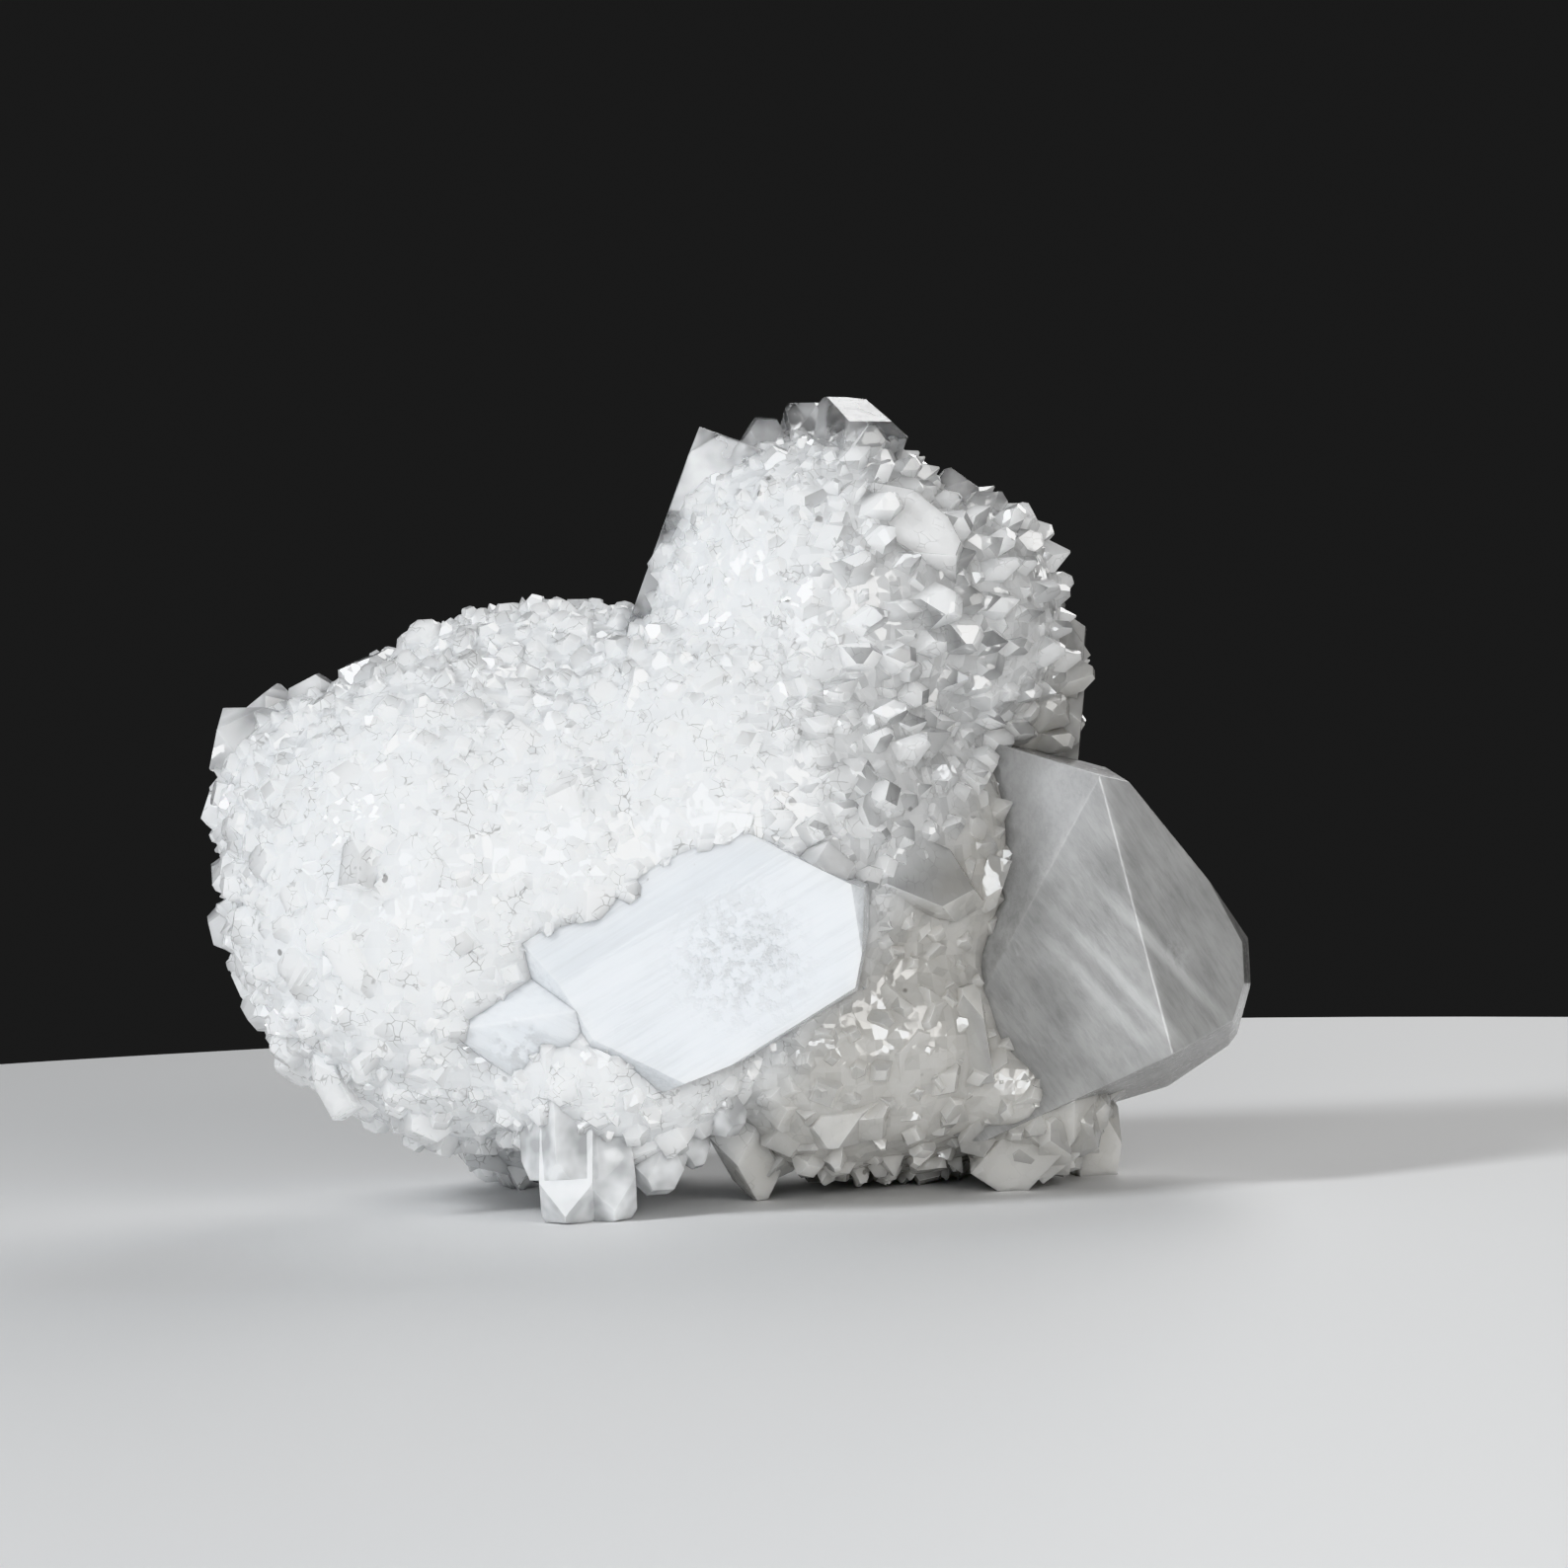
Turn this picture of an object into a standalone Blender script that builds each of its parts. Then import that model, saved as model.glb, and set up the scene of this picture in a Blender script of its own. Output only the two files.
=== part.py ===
"""A hand-sized apophyllite specimen: one mass of intergrown crystals, standing on its own crystal tips.

Metres, +Z up. The origin is under the middle of the specimen, on the plane that it stands on.
X runs along its long side, and -Y is the side with the broad front blade.
"""

import math
import random

import bmesh
import bpy
from mathutils import Matrix, Vector

MM = 0.001

# Driving dimensions, in millimetres unless the name says degrees
# The specimen is about 68 long, 42 deep and 52 high
# Spacing of the small crystals of the crust, at the front and where it is turned away
DRUSE_PITCH = 3.4
BACK_PITCH = 4.6

# How far each small crystal reaches down into the mass, and how near to a large one none grows
ROOT = 1.6
BARE_MARGIN = 0.5

# The mineral's pyramid faces lean by this much from its flat end face
PYRAMID_SLOPE_DEG = 60.4

# The lumpy mass under the crystals
BODY_VOXEL = 1.1
BODY_TRIANGLES = 560

# Spreads the small crystals the same way each time
SEED = 21

CRYSTAL_COLOUR = (0.90, 0.91, 0.91, 1.0)
CRYSTAL_IOR = 1.535

# The rounded swellings of the mass: centre, half sizes, and lean about Y in degrees
SWELLINGS = {
    "left_shoulder": ((-17.5, -1.5, 20.5), (14.0, 14.5, 14.5), 12),
    "left_end": ((-25.6, 1.0, 26.0), (6.6, 9.0, 6.8), 20),
    "left_ridge": ((-13.0, 5.0, 29.3), (13.5, 10.5, 8.8), -8),
    "left_belly": ((-17.6, -2.0, 14.5), (11.0, 12.0, 9.6), 26),
    "middle": ((0.0, -2.0, 23.5), (14.5, 13.5, 13.5), 0),
    "dome": ((6.6, 1.5, 37.6), (10.6, 11.0, 11.0), 0),
    "dome_right": ((14.0, 4.5, 37.0), (7.8, 9.0, 8.2), 0),
    "back_ledge": ((18.0, 10.0, 33.0), (5.6, 6.5, 6.4), 0),
    "front_foot_root": ((-7.5, -8.5, 10.0), (8.5, 7.5, 6.0), 0),
    "low_right": ((10.5, 4.5, 9.6), (12.0, 11.0, 8.4), 0),
    "right_heel": ((19.0, 7.0, 7.8), (5.6, 8.0, 4.8), 14),
    "right_wall": ((13.6, 3.0, 21.0), (7.6, 11.0, 10.0), 0),
    "back": ((-2.0, 11.5, 21.0), (19.0, 8.5, 15.0), 0),
    "back_heel": ((-11.0, 11.0, 7.0), (9.0, 8.0, 7.0), 0),
}

# Large crystals, each bounded by flat faces: its middle, the half sizes of the block that it is cut from,
# and each face's outward normal with a point on it
BLADES = {
    "front_blade": (
        (-1.0, -12.5, 16.0),
        (13.0, 7.0, 11.0),
        (
            ((0.03, -0.97, 0.20), (0.0, -18.4, 16.0)),
            ((-0.48, -0.10, 0.87), (0.7, -17.0, 23.1)),
            ((0.50, -0.08, -0.86), (3.3, -17.0, 11.5)),
            ((0.34, -0.06, -0.94), (-2.0, -17.0, 8.9)),
            ((1.00, -0.10, -0.05), (8.5, -17.0, 18.5)),
            ((0.97, -0.05, -0.22), (8.2, -17.0, 15.6)),
            ((0.45, -0.10, 0.89), (7.6, -17.0, 20.7)),
            ((0.74, -0.66, 0.10), (7.7, -18.1, 18.5)),
            ((-0.74, -0.56, -0.38), (-9.6, -17.2, 14.5)),
            ((-0.40, -0.60, -0.69), (-4.6, -17.2, 9.6)),
        ),
    ),
    "lower_blade": (
        (-12.0, -11.0, 12.0),
        (9.5, 6.5, 7.0),
        (
            ((-0.14, -0.94, -0.30), (-12.0, -16.3, 11.4)),
            ((-0.28, -0.78, 0.56), (-13.0, -16.2, 13.2)),
            ((-0.58, -0.20, -0.79), (-14.3, -14.5, 9.9)),
            ((-0.42, -0.20, -0.88), (-10.0, -14.5, 7.1)),
            ((0.42, -0.20, -0.88), (-5.6, -14.0, 7.1)),
            ((-0.92, -0.36, 0.05), (-19.4, -13.0, 11.5)),
            ((0.60, -0.75, -0.28), (-5.4, -15.2, 8.6)),
        ),
    ),
    "right_crystal": (
        (23.0, 1.0, 16.5),
        (11.5, 11.0, 13.0),
        (
            ((0.55, -0.80, 0.22), (23.9, -7.0, 26.5)),
            ((-0.30, -0.95, 0.05), (23.9, -7.0, 26.5)),
            ((-0.69, -0.66, 0.31), (23.9, -7.0, 26.5)),
            ((0.28, -0.05, 0.95), (22.6, -3.0, 27.2)),
            ((0.79, -0.02, 0.61), (25.8, -1.0, 26.3)),
            ((0.89, -0.12, 0.44), (31.7, -3.0, 18.3)),
            ((0.99, -0.14, 0.03), (33.1, -3.0, 14.2)),
            ((0.95, -0.16, -0.30), (32.8, -3.0, 11.8)),
            ((0.77, -0.18, -0.62), (32.0, -3.0, 9.9)),
            ((0.36, -0.20, -0.92), (29.9, -3.0, 8.4)),
            ((0.50, -0.20, -0.86), (26.4, -3.0, 6.7)),
            ((0.35, 0.93, 0.10), (26.0, 9.5, 16.0)),
            ((-0.20, 0.30, -0.93), (18.0, 0.0, 4.6)),
        ),
    ),
}

# Prismatic crystals: width, thickness, length, the middle of the flat end, the axis that the end points
# along, the turn about that axis in degrees, and the share of the end left flat
PRISMS = {
    "foot_root": (5.6, 4.4, 9.0, (-9.6, -12.6, 2.7), (0.02, -0.06, -1.0), 4, 0.80),
    "foot_left": (3.5, 3.3, 9.0, (-10.3, -13.2, -0.3), (-0.04, -0.08, -1.0), 40, 0.42),
    "foot_right": (3.3, 3.1, 9.0, (-7.5, -12.8, -0.3), (0.10, -0.06, -1.0), 20, 0.36),
    "foot_bright": (3.7, 3.0, 9.5, (-4.6, -11.4, 1.5), (0.10, -0.30, -1.0), 62, 0.30),
    "foot_small": (2.8, 2.6, 7.0, (0.2, -11.0, 5.2), (0.55, -0.45, -0.70), 10, 0.30),
    "foot_tiny": (2.4, 2.4, 6.0, (-2.2, -10.2, 2.9), (0.30, -0.25, -0.92), 30, 0.20),
    "low_spike": (5.0, 3.6, 8.0, (1.6, -4.0, -0.4), (0.14, -0.10, -1.0), 45, 0.12),
    "low_block": (6.5, 5.0, 9.0, (8.0, -6.8, 5.6), (0.10, -0.96, -0.26), 25, 0.50),
    "low_wedge": (6.0, 4.5, 9.0, (14.5, -5.6, 4.2), (0.30, -0.80, -0.52), 50, 0.35),
    "low_chip": (5.2, 4.0, 8.0, (5.0, -8.6, 10.0), (0.45, -0.88, -0.16), 70, 0.30),
    "low_step": (6.2, 5.2, 9.0, (18.6, -5.2, 7.2), (0.46, -0.84, -0.28), 15, 0.45),
    "low_shelf": (7.0, 6.0, 9.0, (12.0, -5.6, 10.4), (0.05, -0.98, 0.18), 35, 0.55),
    "low_flake": (4.0, 2.4, 7.0, (12.6, 2.0, 0.3), (0.20, -0.30, -0.95), 20, 0.30),
    "right_point": (5.4, 5.0, 9.0, (21.6, 2.0, 2.3), (0.50, -0.22, -0.85), 30, 0.45),
    "right_under": (5.6, 5.2, 9.0, (25.0, 1.0, 5.4), (0.60, -0.20, -0.78), 10, 0.50),
    "dome_left": (7.6, 6.6, 17.0, (2.7, 1.0, 48.6), (0.37, -0.06, 0.93), 0, 0.80),
    "top_dark": (3.0, 2.8, 6.0, (3.5, 1.0, 50.4), (0.10, -0.18, 0.98), 50, 0.34),
    "top_round": (3.1, 3.0, 7.0, (6.2, 2.0, 51.4), (0.04, -0.02, 1.0), 22, 0.42),
    "top_large": (5.4, 4.8, 9.0, (10.7, 1.0, 50.4), (0.42, -0.30, 0.86), 18, 0.72),
    "top_front": (2.5, 2.4, 6.0, (9.4, -2.2, 49.3), (0.02, -0.45, 0.89), 40, 0.24),
    "top_right": (2.6, 2.4, 6.0, (13.3, 0.0, 47.4), (0.55, -0.20, 0.81), 30, 0.30),
    "dome_shoulder": (2.8, 2.4, 6.0, (16.3, 1.0, 46.2), (0.60, -0.10, 0.79), 12, 0.45),
    "dome_blade": (6.6, 3.8, 9.0, (15.4, -7.4, 41.6), (0.66, -0.64, 0.38), 28, 0.40),
    "dome_long": (6.8, 3.4, 8.0, (0.4, -11.2, 40.4), (-0.25, -0.86, 0.44), 80, 0.34),
    "ledge_upper": (8.6, 7.0, 10.0, (22.4, 8.5, 38.2), (0.83, -0.06, 0.52), 5, 0.66),
    "ledge_point": (4.6, 4.4, 8.0, (24.3, 8.0, 35.3), (0.96, -0.10, -0.10), 38, 0.34),
    "ledge_lower": (6.2, 6.0, 10.0, (24.0, 9.0, 30.0), (0.98, -0.08, -0.12), 8, 0.60),
    "left_knob": (4.3, 4.1, 7.0, (-32.9, 0.0, 30.7), (-0.96, -0.10, 0.24), 22, 0.50),
    "left_a": (3.0, 2.8, 6.0, (-32.8, -1.0, 26.2), (-0.97, -0.10, 0.05), 40, 0.28),
    "left_b": (3.8, 3.4, 6.5, (-33.2, -2.0, 22.0), (-0.98, -0.16, -0.02), 45, 0.20),
    "left_c": (3.8, 3.4, 6.5, (-33.4, -2.0, 18.3), (-0.97, -0.12, -0.20), 38, 0.30),
    "left_d": (3.2, 3.0, 6.0, (-31.9, -2.0, 15.0), (-0.90, -0.14, -0.42), 20, 0.35),
    "ridge_a": (4.6, 4.2, 7.0, (-19.2, 3.0, 37.1), (-0.26, -0.04, 0.96), 12, 0.36),
    "ridge_b": (3.8, 3.4, 6.0, (-23.4, 2.0, 35.6), (-0.34, -0.10, 0.93), 30, 0.55),
    "ridge_c": (3.6, 3.4, 6.0, (-27.2, 1.0, 34.3), (-0.44, -0.06, 0.90), 44, 0.40),
    "ridge_d": (3.0, 3.0, 5.0, (-30.0, 1.0, 33.4), (-0.60, -0.06, 0.80), 15, 0.45),
    "ridge_e": (3.2, 3.0, 5.0, (-12.2, 6.0, 38.7), (-0.10, 0.02, 1.0), 33, 0.40),
    "ridge_f": (2.8, 2.6, 5.0, (-9.0, 6.0, 39.2), (0.05, 0.00, 1.0), 8, 0.40),
    "ridge_g": (3.4, 3.0, 5.5, (-16.0, 0.0, 37.6), (-0.10, -0.10, 0.98), 70, 0.30),
    "blade_cap": (4.4, 3.4, 6.0, (6.9, -16.4, 21.8), (0.55, -0.66, 0.50), 35, 0.40),
    "back_tall": (8.5, 7.5, 13.0, (-8.0, 21.4, 24.0), (-0.20, 0.92, 0.34), 20, 0.42),
    "back_mid": (7.0, 6.5, 12.0, (6.0, 21.8, 18.0), (0.26, 0.95, 0.10), 50, 0.36),
    "back_low": (6.5, 6.0, 11.0, (-2.0, 20.6, 10.6), (0.05, 0.90, -0.42), 10, 0.40),
    "back_left": (6.0, 5.6, 10.0, (-19.0, 16.4, 17.0), (-0.50, 0.84, -0.10), 32, 0.42),
    "back_high": (6.0, 5.0, 10.0, (1.0, 17.0, 35.0), (-0.10, 0.84, 0.52), 64, 0.40),
    "back_right": (6.4, 5.8, 10.0, (16.0, 17.6, 13.0), (0.40, 0.90, -0.10), 12, 0.40),
    "heel_back": (6.4, 6.0, 9.0, (-12.6, 12.6, -0.4), (-0.06, 0.10, -1.0), 26, 0.70),
    "heel_left": (5.4, 5.0, 8.0, (-17.0, 8.0, 1.6), (-0.30, 0.04, -0.95), 14, 0.40),
    "heel_right": (7.0, 6.4, 9.0, (12.6, 9.0, -0.4), (0.10, 0.06, -1.0), 40, 0.75),
}


def frame_of(axis, roll_deg):
    """A rotation whose Z is the axis, turned about it by the roll."""
    turn = Vector((0, 0, 1)).rotation_difference(Vector(axis).normalized())
    return turn.to_matrix() @ Matrix.Rotation(math.radians(roll_deg), 3, "Z")


def mesh_of(bm, name):
    """Ends a bmesh as a named mesh."""
    mesh = bpy.data.meshes.new(name)
    bm.to_mesh(mesh)
    bm.free()
    return mesh


def cut_solid(half_sizes, planes):
    """One convex crystal: a box cut down by planes, each an outward normal and a distance from the middle."""
    bm = bmesh.new()
    bmesh.ops.create_cube(bm, size=2)
    bmesh.ops.scale(bm, vec=half_sizes, verts=bm.verts)
    for normal, distance in planes:
        outward = Vector(normal).normalized()
        everything = bm.verts[:] + bm.edges[:] + bm.faces[:]
        bmesh.ops.bisect_plane(
            bm, geom=everything, plane_co=outward * distance, plane_no=outward, clear_outer=True
        )
        open_edges = [edge for edge in bm.edges if edge.is_boundary]
        if open_edges:
            bmesh.ops.contextual_create(bm, geom=open_edges)
    bmesh.ops.recalc_face_normals(bm, faces=bm.faces)
    return bm


def blade(middle, half_sizes, faces):
    """A large crystal in its place, cut from a block by faces that each pass through a point."""
    planes = [
        (normal, Vector(normal).normalized().dot(Vector(point) - Vector(middle))) for normal, point in faces
    ]
    bm = cut_solid(half_sizes, planes)
    bmesh.ops.translate(bm, vec=middle, verts=bm.verts)
    bmesh.ops.scale(bm, vec=(MM, MM, MM), verts=bm.verts)
    return bm


def pyramid_faces(half, flat, azimuth_deg):
    """Four faces at the mineral's own slope round the upper end of a block, leaving a share of it flat."""
    slope = math.radians(PYRAMID_SLOPE_DEG)
    reach = (half.x + half.y) / math.sqrt(2) * flat
    faces = []
    for quarter in range(4):
        turn = math.radians(azimuth_deg + 90 * quarter)
        outward = Matrix.Rotation(turn, 3, "Z") @ Vector((math.sin(slope), 0, math.cos(slope)))
        faces.append((outward, reach * math.sin(slope) + half.z * math.cos(slope)))
    return faces


def prism(width, thickness, length, tip, axis, roll_deg, flat, azimuth_deg=45):
    """A tetragonal crystal in its place: a square prism whose upper corners are cut by pyramid faces."""
    half = Vector((width, thickness, length)) / 2
    bm = cut_solid(half, pyramid_faces(half, flat, azimuth_deg))
    bmesh.ops.translate(bm, vec=(0, 0, -half.z), verts=bm.verts)
    matrix = Matrix.Translation(Vector(tip) * MM) @ frame_of(axis, roll_deg).to_4x4() @ Matrix.Scale(MM, 4)
    bmesh.ops.transform(bm, matrix=matrix, verts=bm.verts)
    bm.normal_update()
    return bm


def swelling(centre, half_sizes, lean_deg):
    """One rounded lump of the mass."""
    bm = bmesh.new()
    bmesh.ops.create_icosphere(bm, subdivisions=4, radius=1)
    matrix = (
        Matrix.Translation(Vector(centre) * MM)
        @ Matrix.Rotation(math.radians(lean_deg), 4, "Y")
        @ Matrix.Diagonal((*(Vector(half_sizes) * MM), 1))
    )
    bmesh.ops.transform(bm, matrix=matrix, verts=bm.verts)
    return bm


def joined(parts, name):
    """Several bmeshes as one object, each still a closed shell of its own."""
    whole = bmesh.new()
    for part in parts:
        mesh = mesh_of(part, "piece")
        whole.from_mesh(mesh)
        bpy.data.meshes.remove(mesh)
    obj = bpy.data.objects.new(name, mesh_of(whole, name))
    bpy.context.scene.collection.objects.link(obj)
    return obj


def settle(obj):
    """Replaces the object's mesh with what its modifiers make of it."""
    graph = bpy.context.evaluated_depsgraph_get()
    mesh = bpy.data.meshes.new_from_object(obj.evaluated_get(graph))
    obj.modifiers.clear()
    obj.data = mesh


def make_body():
    """The mass: the swellings melted into one closed skin of broad flat patches."""
    body = joined([swelling(*values) for values in SWELLINGS.values()], "apophyllite")
    remesh = body.modifiers.new("melt", "REMESH")
    remesh.mode = "VOXEL"
    remesh.voxel_size = BODY_VOXEL * MM
    smooth = body.modifiers.new("smooth", "SMOOTH")
    smooth.factor = 0.5
    smooth.iterations = 6
    settle(body)
    thin = body.modifiers.new("patches", "DECIMATE")
    thin.ratio = BODY_TRIANGLES / (2 * len(body.data.polygons))
    thin.use_collapse_triangulate = True
    settle(body)
    return body


def reach_of(bm):
    """The middle of a crystal and the radius of the ball that holds it."""
    points = [v.co for v in bm.verts]
    low = Vector(min(p[i] for p in points) for i in range(3))
    high = Vector(max(p[i] for p in points) for i in range(3))
    middle = (low + high) / 2
    return middle, max((p - middle).length for p in points)


def covers(bm, spot, margin):
    """Whether a point lies inside a convex crystal, or nearer to it than the margin."""
    return all((spot - face.calc_center_median()).dot(face.normal) < margin for face in bm.faces)


def druse_sites(body, draw):
    """Points spread over the mass, with their outward normals, no two nearer than the pitch there."""
    candidates = []
    for face in body.data.polygons:
        a, b, c = (body.data.vertices[v].co for v in face.vertices)
        for _ in range(1 + int(face.area / (MM * MM) * 1.5)):
            along, across = sorted((draw.random(), draw.random()))
            spot = a * along + b * (across - along) + c * (1 - across)
            candidates.append((spot, face.normal.copy()))
    draw.shuffle(candidates)
    kept = []
    for spot, normal in candidates:
        hidden = spot.y > 8 * MM or spot.z < 4 * MM
        pitch = (BACK_PITCH if hidden else DRUSE_PITCH) * MM
        if all((spot - other).length > pitch for other, _, _ in kept):
            kept.append((spot, normal, pitch / MM))
    return kept


def druse_crystal(spot, normal, pitch, draw):
    """One short crystal of the crust, leaning a little off the surface's normal."""
    lean = Vector((draw.uniform(-1, 1), draw.uniform(-1, 1), draw.uniform(-1, 1)))
    axis = (normal + lean * 0.40).normalized()
    width = pitch * draw.uniform(1.25, 1.75)
    rise = pitch * draw.uniform(0.20, 0.46)
    tip = spot / MM + axis * rise
    flat = draw.uniform(0.12, 0.36)
    return prism(width, width * draw.uniform(0.8, 1.0), rise + ROOT, tip, axis, draw.uniform(0, 90), flat, 0)


def in_layers(crystals):
    """Sorts crystals into layers in which no two can touch, so that each is a set of separate shells."""
    layers = []
    for bm in crystals:
        middle, radius = reach_of(bm)
        for layer in layers:
            if all((middle - m).length > radius + r for _, m, r in layer):
                layer.append((bm, middle, radius))
                break
        else:
            layers.append([(bm, middle, radius)])
    return [[bm for bm, _, _ in layer] for layer in layers]


def combine(body, other, operation):
    """Joins the other object to the body, or cuts it away."""
    boolean = body.modifiers.new(operation.lower(), "BOOLEAN")
    boolean.operation = operation
    boolean.object = other
    settle(body)
    bpy.data.objects.remove(other)


def fuse(body, crystals):
    """Grows every crystal into the body."""
    for layer in in_layers(crystals):
        combine(body, joined(layer, "layer"), "UNION")


def stand_flat(body):
    """Wears the lowest tips off on the plane that the specimen stands on."""
    ground = bmesh.new()
    bmesh.ops.create_cube(ground, size=200 * MM)
    bmesh.ops.translate(ground, vec=(0, 0, -100 * MM), verts=ground.verts)
    combine(body, joined([ground], "ground"), "DIFFERENCE")


def centre(body):
    """Moves the specimen so that the origin is under the middle of its box."""
    spots = [v.co for v in body.data.vertices]
    low, high = (Vector(pick(p[i] for p in spots) for i in range(2)) for pick in (min, max))
    middle = (low + high) / 2
    body.data.transform(Matrix.Translation((-middle.x, -middle.y, 0)))


def clear_crystal():
    """The mineral: colourless to milky, with the soft glassy shine of its flat faces."""
    material = bpy.data.materials.new("crystal")
    material.use_nodes = True
    shader = material.node_tree.nodes["Principled BSDF"]
    shader.inputs["Base Color"].default_value = CRYSTAL_COLOUR
    shader.inputs["Roughness"].default_value = 0.2
    shader.inputs["Metallic"].default_value = 0.0
    shader.inputs["IOR"].default_value = CRYSTAL_IOR
    shader.inputs["Transmission Weight"].default_value = 0.35
    return material


def main():
    """Grows the specimen: the mass, its crust of small crystals, then the large ones."""
    for obj in list(bpy.data.objects):
        bpy.data.objects.remove(obj)
    draw = random.Random(SEED)
    body = make_body()
    large = [blade(*values) for values in BLADES.values()]
    large += [prism(*values) for values in PRISMS.values()]
    sites = druse_sites(body, draw)
    open_sites = [site for site in sites if not any(covers(bm, site[0], BARE_MARGIN * MM) for bm in large)]
    crystals = [druse_crystal(*site, draw) for site in open_sites]
    fuse(body, crystals)
    fuse(body, large)
    stand_flat(body)
    centre(body)
    body.data.materials.clear()
    body.data.materials.append(clear_crystal())


main()
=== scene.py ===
"""Looks of an apophyllite specimen: a glassy crust of small crystals on one lumpy mass, with larger crystals.

Metres, +Z up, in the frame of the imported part. Sizes in the classes below are in millimetres.
"""

import logging
import math
import random
from abc import ABC, abstractmethod
from dataclasses import dataclass, field
from enum import Enum
from typing import Any, Iterable, Sequence

import bpy
import numpy as np
from mathutils import Matrix, Quaternion, Vector
from mathutils.bvhtree import BVHTree


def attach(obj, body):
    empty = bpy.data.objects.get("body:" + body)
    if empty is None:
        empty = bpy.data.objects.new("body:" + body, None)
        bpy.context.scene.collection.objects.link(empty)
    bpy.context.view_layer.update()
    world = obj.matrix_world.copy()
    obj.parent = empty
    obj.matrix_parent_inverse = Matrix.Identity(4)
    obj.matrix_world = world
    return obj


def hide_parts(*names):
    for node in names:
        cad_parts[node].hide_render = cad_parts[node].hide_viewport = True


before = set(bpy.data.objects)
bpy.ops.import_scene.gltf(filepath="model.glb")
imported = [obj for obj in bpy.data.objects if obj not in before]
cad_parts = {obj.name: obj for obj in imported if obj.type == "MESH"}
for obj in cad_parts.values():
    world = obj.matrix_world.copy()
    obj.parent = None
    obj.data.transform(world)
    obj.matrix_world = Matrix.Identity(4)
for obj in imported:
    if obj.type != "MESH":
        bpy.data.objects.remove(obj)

MM = 0.001
NODE = "apophyllite"
BODY = "root"

# The part's origin is under the middle of its box, this far from the point that its crystals are placed from
MIDDLE = Vector((0.42, 1.49, 0.0))

# The mineral's pyramid faces lean by this much from its flat end face
PYRAMID_SLOPE_DEG = 60.4

# Light bends by this much in the mineral
IOR = 1.535

# How wide the worn edges between facets look
EDGE_MM = 0.04

Numbers = tuple[float, ...]
log = logging.getLogger("specimen")


def spot(x: float, y: float, z: float) -> Vector:
    """A point given in the specimen's own millimetres, as a point of the part in metres."""
    return (Vector((x, y, z)) - MIDDLE) * MM


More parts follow.
